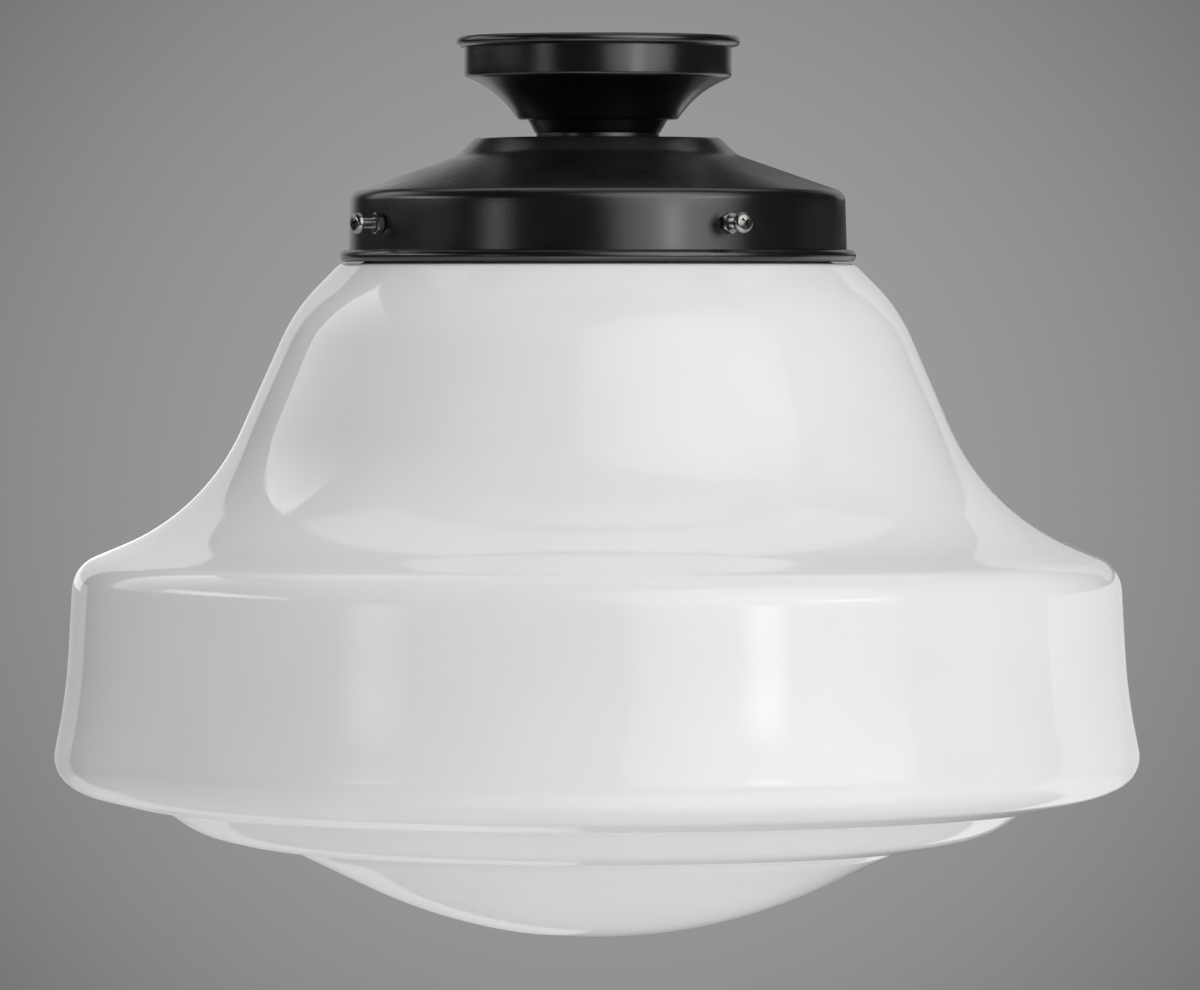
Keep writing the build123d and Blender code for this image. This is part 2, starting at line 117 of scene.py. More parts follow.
class Section:
    """A line in the XZ plane, drawn by a tip that is extruded along runs and spun along arcs."""

    longest_run = 4.0
    widest_arc_step = math.radians(7.0)
    fewest_arc_steps = 2
    fullest_run = 0.98

    def __init__(self, start: Point) -> None:
        """Starts the line.

        Args:
            start: The first point, as radius and height.
        """
        self.bm = bmesh.new()
        made = bmesh.ops.create_vert(self.bm, co=(start[0], 0.0, start[1]))
        self.tip = made["vert"][0]
        self.first = self.tip

    def line_to(self, end: Point) -> "Section":
        """Draws a straight run in even pieces.

        Args:
            end: Where the run ends.

        Returns:
            The section, so that calls can be chained.
        """
        way = Vector((end[0], 0.0, end[1])) - self.tip.co
        if way.length < WELD:
            return self
        pieces = math.ceil(way.length / self.longest_run)
        for _ in range(pieces):
            self.tip = bmesh.ops.extrude_vert_indiv(self.bm, verts=[self.tip])["verts"][0]
            bmesh.ops.translate(self.bm, verts=[self.tip], vec=way / pieces)
        return self

    def arc(self, centre: Point, angle: float) -> "Section":
        """Spins the tip about a centre.

        Args:
            centre: The centre of the arc.
            angle: How far it turns, in radians, from the radius axis towards the height axis.

        Returns:
            The section, so that calls can be chained.
        """
        pivot = Vector((centre[0], 0.0, centre[1]))
        length = abs(angle) * (self.tip.co - pivot).length
        steps = max(
            self.fewest_arc_steps,
            math.ceil(abs(angle) / self.widest_arc_step),
            math.ceil(length / self.longest_run),
        )
        turned = bmesh.ops.spin(
            self.bm, geom=[self.tip], cent=pivot, axis=(0.0, -1.0, 0.0), angle=angle, steps=steps
        )
        ends = [item for item in turned["geom_last"] if isinstance(item, bmesh.types.BMVert)]
        self.tip = ends[0]
        return self

    def through(self, corners: Sequence[Point], rounds: Sequence[float]) -> "Section":
        """Draws runs from the tip through corners, with an arc at each but the last.

        Args:
            corners: The corners that follow the tip.
            rounds: The radius at each corner but the last.

        Returns:
            The section, so that calls can be chained.
        """
        points = [Vector((self.tip.co.x, self.tip.co.z)), *(Vector(corner) for corner in corners)]
        runs = [after - before for before, after in zip(points, points[1:])]
        ways = [run.normalized() for run in runs]
        halves = [way_in.angle(way_out) / 2 for way_in, way_out in zip(ways, ways[1:])]
        reaches = [radius * math.tan(half) for radius, half in zip(rounds, halves)]
        room = [
            min(1.0, self.fullest_run * run.length / max(near + far, WELD))
            for run, near, far in zip(runs, [0.0, *reaches], [*reaches, 0.0])
        ]
        for corner, way_in, way_out, half, radius, before, after in zip(
            points[1:], ways, ways[1:], halves, rounds, room, room[1:]
        ):
            fitted = radius * min(before, after)
            turn = 1.0 if way_in.x * way_out.y - way_in.y * way_out.x > 0 else -1.0
            start = corner - way_in * fitted * math.tan(half)
            self.line_to((start.x, start.y))
            if fitted > WELD:
                centre = start + Vector((-way_in.y, way_in.x)) * turn * fitted
                self.arc((centre.x, centre.y), 2.0 * half * turn)
        return self.line_to((points[-1].x, points[-1].y))

    def close(self) -> "Section":
        """Joins the tip to the start with a straight run.

        Returns:
            The section, so that calls can be chained.
        """
        self.line_to((self.first.co.x, self.first.co.z))
        bmesh.ops.remove_doubles(self.bm, verts=self.bm.verts[:], dist=WELD)
        return self

    def spun(self, steps: int = 192) -> bmesh.types.BMesh:
        """Spins the section once round the height axis.

        Args:
            steps: How many faces there are round the axis.

        Returns:
            The closed mesh, still in millimetres, with its faces pointing outwards.
        """
        bmesh.ops.spin(
            self.bm,
            geom=self.bm.verts[:] + self.bm.edges[:],
            cent=(0.0, 0.0, 0.0),
            axis=(0.0, 0.0, 1.0),
            angle=math.tau,
            steps=steps,
            use_merge=True,
        )
        bmesh.ops.remove_doubles(self.bm, verts=self.bm.verts[:], dist=WELD)
        bmesh.ops.recalc_face_normals(self.bm, faces=self.bm.faces[:])
        return self.bm


def thread_ridge(
    crest: float, root: float, pitch: float, start: float, length: float, steps: int = 24
) -> bmesh.types.BMesh:
    """The ridge of a right-hand thread, wound round the height axis as one closed solid.

    Args:
        crest: The radius of the crest.
        root: The radius of the shank that the ridge stands on.
        pitch: The rise in one turn.
        start: The height at which the thread starts.
        length: How long the thread is.
        steps: How many faces there are in one turn.

    Returns:
        The mesh in millimetres.
    """
    bm = bmesh.new()
    buried = root - RIDGE_BURIED * (crest - root)
    section = list(zip((buried, crest, crest, buried), RIDGE_SHARES))
    ring = [
        bmesh.ops.create_vert(bm, co=(radius, 0.0, start + share * pitch))["vert"][0]
        for radius, share in section
    ]
    face = bm.faces.new(ring)
    turns = (length - pitch) / pitch
    count = max(1, round(turns * steps))
    bmesh.ops.spin(
        bm,
        geom=[face, *face.edges, *ring],
        cent=(0.0, 0.0, 0.0),
        axis=(0.0, 0.0, 1.0),
        dvec=(0.0, 0.0, pitch / steps),
        angle=math.tau * count / steps,
        steps=count,
    )
    bmesh.ops.recalc_face_normals(bm, faces=bm.faces[:])
    return bm


def joined(meshes: Sequence[bmesh.types.BMesh]) -> bmesh.types.BMesh:
    """Puts several meshes into the first one.

    Args:
        meshes: The meshes to join. All but the first are freed.

    Returns:
        The first mesh, with the others in it.
    """
    whole = meshes[0]
    for bm in meshes[1:]:
        carrier = bpy.data.meshes.new("carrier")
        bm.to_mesh(carrier)
        bm.free()
        whole.from_mesh(carrier)
        bpy.data.meshes.remove(carrier)
    return whole


def set_shading(bm: bmesh.types.BMesh, sharp: float) -> None:
    """Shades the faces smooth, with a hard edge where two faces meet at more than an angle.

    Args:
        bm: The mesh.
        sharp: The angle in degrees from which an edge is hard.
    """
    limit = math.radians(sharp)
    for face in bm.faces:
        face.smooth = True
    for edge in bm.edges:
        edge.smooth = edge.is_manifold and edge.calc_face_angle(0.0) < limit


def as_object(
    bm: bmesh.types.BMesh, name: str, sharp: float = SHARP, scale: float = MM
) -> bpy.types.Object:
    """Finishes a mesh and puts it into the scene as an object at the origin.

    Args:
        bm: The mesh, which is freed.
        name: The object's name.
        sharp: The angle in degrees from which an edge is hard.
        scale: What the mesh is scaled by.

    Returns:
        The object.
    """
    bmesh.ops.scale(bm, vec=(scale, scale, scale), verts=bm.verts[:])
    set_shading(bm, sharp)
    mesh = bpy.data.meshes.new(name)
    bm.to_mesh(mesh)
    bm.free()
    made = bpy.data.objects.new(name, mesh)
    bpy.context.scene.collection.objects.link(made)
    return made


def carved(
    blank: bpy.types.Object, tools: Sequence[bpy.types.Object], operation: str
) -> bpy.types.Object:
    """Cuts an object with others and keeps the result as its mesh.

    Args:
        blank: The object that is cut.
        tools: The closed objects that cut it. They are deleted.
        operation: DIFFERENCE or INTERSECT.

    Returns:
        The object that was cut.
    """
    for tool in tools:
        cut = blank.modifiers.new(tool.name, "BOOLEAN")
        cut.object = tool
        cut.operation = operation
        cut.solver = "EXACT"
    evaluated = blank.evaluated_get(bpy.context.evaluated_depsgraph_get())
    result = bpy.data.meshes.new_from_object(evaluated)
    blank.modifiers.clear()
    old = blank.data
    blank.data = result
    result.name = blank.name
    bpy.data.meshes.remove(old)
    for tool in tools:
        mesh = tool.data
        bpy.data.objects.remove(tool)
        bpy.data.meshes.remove(mesh)
    return blank


def resharpened(piece: bpy.types.Object, sharp: float) -> bpy.types.Object:
    """Welds an object's mesh after a cut and sets its shading anew.

    Args:
        piece: The object.
        sharp: The angle in degrees from which an edge is hard.

    Returns:
        The same object.
    """
    bm = bmesh.new()
    bm.from_mesh(piece.data)
    bmesh.ops.remove_doubles(bm, verts=bm.verts[:], dist=CUT_WELD)
    set_shading(bm, sharp)
    bm.to_mesh(piece.data)
    bm.free()
    return piece


def report(piece: bpy.types.Object) -> None:
    """Logs a finished piece with its number of faces."""
    LOG.info("%s: %d faces", piece.name, len(piece.data.polygons))


def settle(
    piece: bpy.types.Object,
    body: str,
    slot: Slot,
    shelf: "FinishShelf",
    nodes: Sequence[str],
) -> None:
    """Gives a piece its finish and its body, and hides the parts that it stands for.

    Args:
        piece: The object.
        body: The body that it rides on.
        slot: The record's slot for its finish.
        shelf: The finishes.
        nodes: The CAD nodes that it stands for.
    """
    piece.data.materials.clear()
    piece.data.materials.append(shelf[slot])
    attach(piece, body)
    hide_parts(*nodes)
    report(piece)


# ---------------------------------------------------------------------------
# Nodes and shared effects
# ---------------------------------------------------------------------------


class NodeBench:
    """Adds and joins the nodes of one tree."""

    def __init__(self, tree: bpy.types.NodeTree) -> None:
        """Starts on an emptied tree."""
        self.tree = tree
        tree.nodes.clear()

    def add(self, kind: str, inputs: dict | None = None, **settings: object) -> bpy.types.Node:
        """Adds a node.

        Args:
            kind: The node's type.
            inputs: Values or sockets for its inputs, by name or number.
            **settings: The node's own settings.

        Returns:
            The node.
        """
        node = self.tree.nodes.new(kind)
        for name, value in settings.items():
            setattr(node, name, value)
        for name, value in (inputs or {}).items():
            self.feed(node, name, value)
        return node

    def feed(self, node: bpy.types.Node, name: str | int, value: object) -> None:
        """Links a socket to a node's input, or sets a value there.

        Args:
            node: The node.
            name: The input's name or number.
            value: The socket or the value.
        """
        if isinstance(value, bpy.types.NodeSocket):
            self.tree.links.new(value, node.inputs[name])
        else:
            node.inputs[name].default_value = value

    def maths(
        self, operation: str, first: object, second: object = 0.0, clamp: bool = False
    ) -> bpy.types.NodeSocket:
        """Adds a Math node.

        Args:
            operation: What it works out.
            first: Its first value or socket.
            second: Its second value or socket.
            clamp: Whether the result is kept between 0 and 1.

        Returns:
            What it puts out.
        """
        values = {0: first, 1: second}
        node = self.add("ShaderNodeMath", values, operation=operation, use_clamp=clamp)
        return node.outputs[0]

    def spread(
        self, value: object, low: float, high: float, to_low: float = 0.0, to_high: float = 1.0
    ) -> bpy.types.NodeSocket:
        """Adds a Map Range node.

        Args:
            value: The socket that is spread.
            low: The value that becomes `to_low`.
            high: The value that becomes `to_high`.
            to_low: The lower end of the result.
            to_high: The upper end of the result.

        Returns:
            What it puts out.
        """
        ends = {"From Min": low, "From Max": high, "To Min": to_low, "To Max": to_high}
        return self.add("ShaderNodeMapRange", {"Value": value, **ends}).outputs[0]

    def blend(self, share: object, first: object, second: object) -> bpy.types.NodeSocket:
        """Adds a Mix node for colours.

        Args:
            share: How much of the second colour there is, from 0 to 1.
            first: The first colour or socket.
            second: The second colour or socket.

        Returns:
            The mixed colour.
        """
        node = self.add("ShaderNodeMix", data_type="RGBA")
        for number, value in {0: share, 6: first, 7: second}.items():
            self.feed(node, number, value)
        return node.outputs[2]

    def noise(
        self, place: object, scale: object, detail: float = 2.0, roughness: float = 0.5
    ) -> bpy.types.NodeSocket:
        """Adds a Noise node.

        Args:
            place: The place that it reads.
            scale: How many cells there are to a metre.
            detail: How many finer layers lie over the first.
            roughness: How strong the finer layers are.

        Returns:
            Its value, from 0 to 1.
        """
        given = {"Vector": place, "Scale": scale, "Detail": detail, "Roughness": roughness}
        return self.add("ShaderNodeTexNoise", given).outputs["Fac"]

    def bump(
        self, height: object, strength: float, distance: float, normal: object = None
    ) -> bpy.types.NodeSocket:
        """Adds a Bump node.

        Args:
            height: The heights that it turns into slopes.
            strength: How much of the slope is used.
            distance: How high a height of 1 is, in metres.
            normal: The normal of another bump that lies under it.

        Returns:
            The bumped normal.
        """
        given = {"Strength": strength, "Distance": distance, "Height": height}
        if normal is not None:
            given["Normal"] = normal
        return self.add("ShaderNodeBump", given).outputs[0]


class Effect(Enum):
    """The node groups that several finishes share."""

    FINE_GRAIN = "fine_grain"
    EDGE_WEAR = "edge_wear"
    SETTLED_DUST = "settled_dust"
    SPUN_LINES = "spun_lines"
    SOFT_DRIFT = "soft_drift"


class Effects:
    """Makes each shared effect once, and places it in a finish with its own values."""

    coarse_grain_scale = 0.23
    fine_grain_share = 0.6
    edge_gain = 14.0
    wear_patches = (0.42, 0.66)
    dust_slopes = (0.35, 1.0)
    dust_specks = (0.35, 0.75)

    def __init__(self) -> None:
        """Starts with no group made."""
        self.made: dict[Effect, bpy.types.NodeTree] = {}
        self.makers: dict[Effect, Callable[[], bpy.types.NodeTree]] = {
            Effect.FINE_GRAIN: self._fine_grain,
            Effect.EDGE_WEAR: self._edge_wear,
            Effect.SETTLED_DUST: self._settled_dust,
            Effect.SPUN_LINES: self._spun_lines,
            Effect.SOFT_DRIFT: self._soft_drift,
        }

    def place(self, bench: NodeBench, effect: Effect, inputs: dict) -> bpy.types.NodeSocket:
        """Places an effect in a finish.

        Args:
            bench: The finish's nodes.
            effect: Which effect.
            inputs: The values or sockets for the group's inputs.

        Returns:
            What the group puts out.
        """
        if effect not in self.made:
            self.made[effect] = self.makers[effect]()
        node = bench.add("ShaderNodeGroup", node_tree=self.made[effect])
        for name, value in inputs.items():
            bench.feed(node, name, value)
        return node.outputs[0]

    @staticmethod
    def _group(
        effect: Effect, numbers: dict[str, float], result: str
    ) -> tuple[bpy.types.NodeTree, NodeBench, bpy.types.Node]:
        """Makes an empty group with a place input, number inputs and one number output.

        Args:
            effect: The effect that gives the group its name.
            numbers: The number inputs with the values that they start from.
            result: The name of the output.

        Returns:
            The group, its nodes, and the node with its inputs.
        """
        tree = bpy.data.node_groups.new(effect.value, "ShaderNodeTree")
        bench = NodeBench(tree)
        tree.interface.new_socket("Place", in_out="INPUT", socket_type="NodeSocketVector")
        for name, value in numbers.items():
            socket = tree.interface.new_socket(name, in_out="INPUT", socket_type="NodeSocketFloat")
            socket.default_value = value
        tree.interface.new_socket(result, in_out="OUTPUT", socket_type="NodeSocketFloat")
        return tree, bench, bench.add("NodeGroupInput")

    def _fine_grain(self) -> bpy.types.NodeTree:
        """Small even bumps, such as a sprayed coat has: two sizes of noise.

        Returns:
            The group.
        """
        tree, bench, given = self._group(Effect.FINE_GRAIN, {"Scale": 900.0}, "Height")
        place, scale = given.outputs["Place"], given.outputs["Scale"]
        fine = bench.noise(place, scale, detail=3.0, roughness=0.6)
        coarse_scale = bench.maths("MULTIPLY", scale, self.coarse_grain_scale)
        coarse = bench.noise(place, coarse_scale, detail=1.0)
        fine_share = bench.maths("MULTIPLY", fine, self.fine_grain_share)
        coarse_share = bench.maths("MULTIPLY", coarse, 1.0 - self.fine_grain_share)
        both = bench.maths("ADD", fine_share, coarse_share)
        bench.add("NodeGroupOutput", {"Height": both})
        return tree

    def _edge_wear(self) -> bpy.types.NodeTree:
        """A mask that is 1 where a convex edge is rubbed, broken up by noise.

        Returns:
            The group.
        """
        tree, bench, given = self._group(
            Effect.EDGE_WEAR, {"Scale": 300.0, "Start": 0.53, "Amount": 0.5}, "Mask"
        )
        shape = bench.add("ShaderNodeNewGeometry")
        start = given.outputs["Start"]
        rise = bench.maths("SUBTRACT", shape.outputs["Pointiness"], start)
        edge = bench.maths("MULTIPLY", rise, self.edge_gain, clamp=True)
        patches = bench.noise(given.outputs["Place"], given.outputs["Scale"], detail=4.0)
        mask = bench.maths("MULTIPLY", edge, bench.spread(patches, *self.wear_patches))
        worn = bench.maths("MULTIPLY", mask, given.outputs["Amount"])
        bench.add("NodeGroupOutput", {"Mask": worn})
        return tree

    def _settled_dust(self) -> bpy.types.NodeTree:
        """A mask of the thin dust that lies on surfaces that face up.

        Returns:
            The group.
        """
        numbers = {"Scale": 60.0, "Amount": 0.2}
        tree, bench, given = self._group(Effect.SETTLED_DUST, numbers, "Mask")
        shape = bench.add("ShaderNodeNewGeometry")
        split = bench.add("ShaderNodeSeparateXYZ", {0: shape.outputs["Normal"]})
        up = bench.spread(split.outputs["Z"], *self.dust_slopes)
        place, scale = given.outputs["Place"], given.outputs["Scale"]
        specks = bench.noise(place, scale, detail=6.0, roughness=0.7)
        mask = bench.maths("MULTIPLY", up, bench.spread(specks, *self.dust_specks))
        lying = bench.maths("MULTIPLY", mask, given.outputs["Amount"])
        bench.add("NodeGroupOutput", {"Mask": lying})
        return tree

    def _spun_lines(self) -> bpy.types.NodeTree:
        """The faint rings that a spinning tool leaves, which run round the light's own axis.

        Returns:
            The group.
        """
        tree, bench, given = self._group(Effect.SPUN_LINES, {"Scale": 700.0}, "Height")
        split = bench.add("ShaderNodeSeparateXYZ", {0: given.outputs["Place"]})
        flat = bench.add("ShaderNodeCombineXYZ", {0: split.outputs["X"], 1: split.outputs["Y"]})
        radius = bench.add("ShaderNodeVectorMath", {0: flat.outputs[0]}, operation="LENGTH")
        level = {0: radius.outputs["Value"], 1: split.outputs["Z"]}
        across = bench.add("ShaderNodeCombineXYZ", level)
        scale = given.outputs["Scale"]
        rings = bench.noise(across.outputs[0], scale, detail=3.0, roughness=0.7)
        bench.add("NodeGroupOutput", {"Height": rings})
        return tree

    def _soft_drift(self) -> bpy.types.NodeTree:
        """A slow change over the surface, from 0 to 1.

        Returns:
            The group.
        """
        numbers = {"Scale": 8.0, "Low": 0.35, "High": 0.65}
        tree, bench, given = self._group(Effect.SOFT_DRIFT, numbers, "Share")
        noise = bench.noise(given.outputs["Place"], given.outputs["Scale"])
        share = bench.spread(noise, given.outputs["Low"], given.outputs["High"])
        bench.add("NodeGroupOutput", {"Share": share})
        return tree


# ---------------------------------------------------------------------------
# Finishes
# ---------------------------------------------------------------------------


def new_material(name: str) -> tuple[bpy.types.Material, NodeBench, bpy.types.NodeSocket]:
    """Starts a material.

    Args:
        name: The material's name.

    Returns:
        The material, its nodes, and the place on the piece that its patterns read.
    """
    material = bpy.data.materials.new(name)
    material.use_nodes = True
    bench = NodeBench(material.node_tree)
    place = bench.add("ShaderNodeTexCoord").outputs["Object"]
    return material, bench, place


def shade_with(bench: NodeBench, inputs: dict) -> None:
    """Ends a material with a Principled shader.

    Args:
        bench: The material's nodes.
        inputs: The shader's values and sockets.
    """
    shader = bench.add("ShaderNodeBsdfPrincipled", inputs)
    bench.add("ShaderNodeOutputMaterial", {"Surface": shader.outputs[0]})


@dataclass(frozen=True)
class BlackEnamel:
    """Semi-gloss black enamel, sprayed over spun steel."""

    colour: Colour = (0.0022, 0.0022, 0.0023, 1.0)
    rubbed: Colour = (0.014, 0.0135, 0.013, 1.0)
    dust: Colour = (0.05, 0.05, 0.048, 1.0)
    roughness: Point = (0.22, 0.28)
    lustre: float = 1.85
    dulled_by_dust: float = 0.4
    grain_depth: float = 0.00005
    ring_depth: float = 0.00002

    def make(self, effects: Effects) -> bpy.types.Material:
        """Makes the material.

        Args:
            effects: The shared effects.

        Returns:
            The material.
        """
        material, bench, place = new_material(Slot.BLACK_ENAMEL.value)
        rubbing = {"Place": place, "Start": 0.56, "Amount": 0.35}
        wear = effects.place(bench, Effect.EDGE_WEAR, rubbing)
        dust = effects.place(bench, Effect.SETTLED_DUST, {"Place": place, "Amount": 0.10})
        drift = effects.place(bench, Effect.SOFT_DRIFT, {"Place": place, "Scale": 35.0})
        grain = effects.place(bench, Effect.FINE_GRAIN, {"Place": place, "Scale": 900.0})
        rings = effects.place(bench, Effect.SPUN_LINES, {"Place": place, "Scale": 500.0})
        colour = bench.blend(wear, self.colour, self.rubbed)
        colour = bench.blend(dust, colour, self.dust)
        roughness = bench.spread(drift, 0.0, 1.0, *self.roughness)
        dulled = bench.maths("MULTIPLY", dust, self.dulled_by_dust)
        roughness = bench.maths("ADD", roughness, dulled, clamp=True)
        ringed = bench.bump(rings, strength=0.5, distance=self.ring_depth)
        bumped = bench.bump(grain, strength=1.0, distance=self.grain_depth, normal=ringed)
        shade_with(
            bench,
            {"Base Color": colour, "Roughness": roughness, "IOR": self.lustre, "Normal": bumped},
        )
        return material


@dataclass(frozen=True)
class OpalGlass:
    """White opal glass, blown, with a fire-polished face."""

    colour: Colour = (0.83, 0.83, 0.825, 1.0)
    milky: Colour = (0.80, 0.80, 0.80, 1.0)
    roughness: Point = (0.04, 0.09)
    refraction: float = 1.5
    wave_scale: float = 9.0
    wave_depth: float = 0.0004
    seed_scale: float = 420.0
    seed_cut: Point = (0.72, 0.80)
    seed_depth: float = 0.0001
    depth_of_light: float = 0.006
    spread_of_light: tuple[float, float, float] = (1.0, 1.0, 0.95)
    milkiness: float = 0.3

    def make(self, effects: Effects) -> bpy.types.Material:
        """Makes the material.

        Args:
            effects: The shared effects.

        Returns:
            The material.
        """
        material, bench, place = new_material(Slot.OPAL_GLASS.value)
        drift = effects.place(bench, Effect.SOFT_DRIFT, {"Place": place, "Scale": 14.0})
        smudges = {"Place": place, "Scale": 45.0, "Low": 0.45}
        smear = effects.place(bench, Effect.SOFT_DRIFT, smudges)
        waves = bench.noise(place, self.wave_scale, detail=1.0)
        seeds = bench.spread(bench.noise(place, self.seed_scale, detail=0.0), *self.seed_cut)
        colour = bench.blend(drift, self.colour, self.milky)
        roughness = bench.spread(smear, 0.0, 1.0, *self.roughness)
        waved = bench.bump(waves, strength=0.6, distance=self.wave_depth)
        seeded = bench.bump(seeds, strength=0.15, distance=self.seed_depth, normal=waved)
        shade_with(
            bench,
            {
                "Base Color": colour,
                "Roughness": roughness,
                "IOR": self.refraction,
                "Subsurface Weight": self.milkiness,
                "Subsurface Scale": self.depth_of_light,
                "Subsurface Radius": self.spread_of_light,
                "Normal": seeded,
            },
        )
        return material


@dataclass(frozen=True)
class Plated:
    """A plated or bare metal with fine tool marks."""

    slot: Slot
    colour: Colour
    dull: Colour
    roughness: Point = (0.18, 0.32)
    mark_scale: float = 900.0
    mark_depth: float = 0.00002
    wear_amount: float = 0.4
    polished_by_wear: float = 0.1

    def make(self, effects: Effects) -> bpy.types.Material:
        """Makes the material.

        Args:
            effects: The shared effects.

        Returns:
            The material.
        """
        material, bench, place = new_material(self.slot.value)
        drift = effects.place(bench, Effect.SOFT_DRIFT, {"Place": place, "Scale": 160.0})
        wear = effects.place(bench, Effect.EDGE_WEAR, {"Place": place, "Amount": self.wear_amount})
        marks = effects.place(bench, Effect.SPUN_LINES, {"Place": place, "Scale": self.mark_scale})
        colour = bench.blend(drift, self.colour, self.dull)
        roughness = bench.spread(drift, 0.0, 1.0, *self.roughness)
        polish = bench.maths("MULTIPLY", wear, self.polished_by_wear)
        roughness = bench.maths("SUBTRACT", roughness, polish, clamp=True)
        bumped = bench.bump(marks, strength=0.6, distance=self.mark_depth)
        shade_with(
            bench,
            {"Base Color": colour, "Metallic": 1.0, "Roughness": roughness, "Normal": bumped},
        )
        return material


@dataclass(frozen=True)
class Glazed:
    """Porcelain, or the frosted glass of the lamp."""

    slot: Slot
    colour: Colour
    shaded: Colour
    roughness: Point
    grain_scale: float
    grain_depth: float
    milkiness: float = 0.0
    depth_of_light: float = 0.003

    def make(self, effects: Effects) -> bpy.types.Material:
        """Makes the material.

        Args:
            effects: The shared effects.

        Returns:
            The material.
        """
        material, bench, place = new_material(self.slot.value)
        drift = effects.place(bench, Effect.SOFT_DRIFT, {"Place": place, "Scale": 70.0})
        grain = effects.place(bench, Effect.FINE_GRAIN, {"Place": place, "Scale": self.grain_scale})
        colour = bench.blend(drift, self.colour, self.shaded)
        roughness = bench.spread(drift, 0.0, 1.0, *self.roughness)
        bumped = bench.bump(grain, strength=0.5, distance=self.grain_depth)
        shade_with(
            bench,
            {
                "Base Color": colour,
                "Roughness": roughness,
                "Subsurface Weight": self.milkiness,
                "Subsurface Scale": self.depth_of_light,
                "Normal": bumped,
            },
        )
        return material


class FinishShelf:
    """All finishes of the light, by slot."""

    def __init__(self) -> None:
        """Makes every finish once."""
        effects = Effects()
        metals = {
            Slot.NICKEL: ((0.42, 0.41, 0.40, 1.0), (0.28, 0.275, 0.265, 1.0), (0.14, 0.28)),
            Slot.ZINC_STEEL: ((0.55, 0.56, 0.58, 1.0), (0.42, 0.43, 0.44, 1.0), (0.28, 0.44)),
            Slot.EARTH_GREEN: ((0.07, 0.30, 0.11, 1.0), (0.04, 0.20, 0.08, 1.0), (0.25, 0.38)),
            Slot.BRASS: ((0.74, 0.54, 0.24, 1.0), (0.56, 0.38, 0.16, 1.0), (0.20, 0.34)),
            Slot.LAMP_METAL: ((0.70, 0.70, 0.69, 1.0), (0.56, 0.56, 0.55, 1.0), (0.20, 0.32)),
        }
        porcelain = Glazed(
            slot=Slot.PORCELAIN,
            colour=(0.86, 0.85, 0.81, 1.0),
            shaded=(0.80, 0.78, 0.73, 1.0),
            roughness=(0.10, 0.18),
            grain_scale=500.0,
            grain_depth=0.00002,
        )
        frosted = Glazed(
            slot=Slot.LAMP_GLASS,
            colour=(0.88, 0.88, 0.87, 1.0),
            shaded=(0.83, 0.83, 0.82, 1.0),
            roughness=(0.34, 0.46),
            grain_scale=1500.0,
            grain_depth=0.00003,
            milkiness=0.4,
        )
        self.by_slot: dict[Slot, bpy.types.Material] = {
            Slot.BLACK_ENAMEL: BlackEnamel().make(effects),
            Slot.OPAL_GLASS: OpalGlass().make(effects),
            Slot.PORCELAIN: porcelain.make(effects),
            Slot.LAMP_GLASS: frosted.make(effects),
        }
        for slot, (bright, dull, roughness) in metals.items():
            self.by_slot[slot] = Plated(slot, bright, dull, roughness).make(effects)

    def __getitem__(self, slot: Slot) -> bpy.types.Material:
        """The finish of a slot."""
        return self.by_slot[slot]


# ---------------------------------------------------------------------------
# Sub-assemblies
# ---------------------------------------------------------------------------


def bead_point(centre: Point, angle: float, radius: float) -> Point:
    """The point of a rolled bead at an angle round its centre.

    Args:
        centre: The bead's centre, as radius and height.
        angle: The angle in radians.
        radius: The bead's own radius.

    Returns:
        The point, as radius and height.
    """
    end = Vector((math.cos(angle), math.sin(angle))) * radius
    return (centre[0] + end.x, centre[1] + end.y)


@dataclass
class Canopy:
    """The spun pan against the ceiling. A corner is its radius, drop below z = 0 and round."""

    wall: float = 1.0
    bead: float = 4.5
    band_radius: float = 56.5
    height: float = 40.7
    hole_radius: float = 5.39
    curl: float = 290.0
    corners: tuple[tuple[float, float, float], ...] = (
        (26.3, 40.7, 1.3),
        (29.6, 34.95, 1.3),
        (33.7, 34.95, 1.3),
        (43.0, 22.85, 41.0),
        (56.5, 17.2, 2.0),
    )

    def build(self, shelf: FinishShelf) -> None:
        """Builds the canopy.

        Args:
            shelf: The finishes.
        """
        centre = (self.band_radius - self.wall + self.bead / 2, -self.bead / 2)
        skin = [
            (self.hole_radius, -self.height),
            *((radius, -drop) for radius, drop, _ in self.corners),
            (self.band_radius, centre[1]),
        ]
        rounds = [corner[2] for corner in self.corners]
        inside, inside_rounds = parallel_skin(skin, rounds, -self.wall)
        turn = math.radians(self.curl)
        section = Section(skin[0])
        section.through(skin[1:], rounds)
        section.arc(centre, -turn)
        section.line_to(bead_point(centre, math.pi - turn, self.bead / 2))
        section.arc(centre, turn)
        section.through(inside[-2::-1], inside_rounds[::-1])
        piece = as_object(section.close().spun(steps=160), "canopy_shell")
        settle(piece, Body.FIXTURE.value, Slot.BLACK_ENAMEL, shelf, ["canopy"])


@dataclass
class NeckSpacer:
    """The disc between the canopy's collar and the shade holder."""

    radius: float = 26.1
    thickness: float = 2.1
    hole_radius: float = 5.39
    top: float = -40.7
    edge_round: float = 0.35

    def build(self, shelf: FinishShelf) -> None:
        """Builds the spacer.

        Args:
            shelf: The finishes.
        """
        bottom = self.top - self.thickness
        section = Section((self.hole_radius, bottom))
        section.through(
            [(self.radius, bottom), (self.radius, self.top), (self.hole_radius, self.top)],
            [self.edge_round, self.edge_round],
        )
        piece = as_object(section.close().spun(steps=96), "spacer_disc")
        settle(piece, Body.FIXTURE.value, Slot.BLACK_ENAMEL, shelf, ["neck_spacer"])


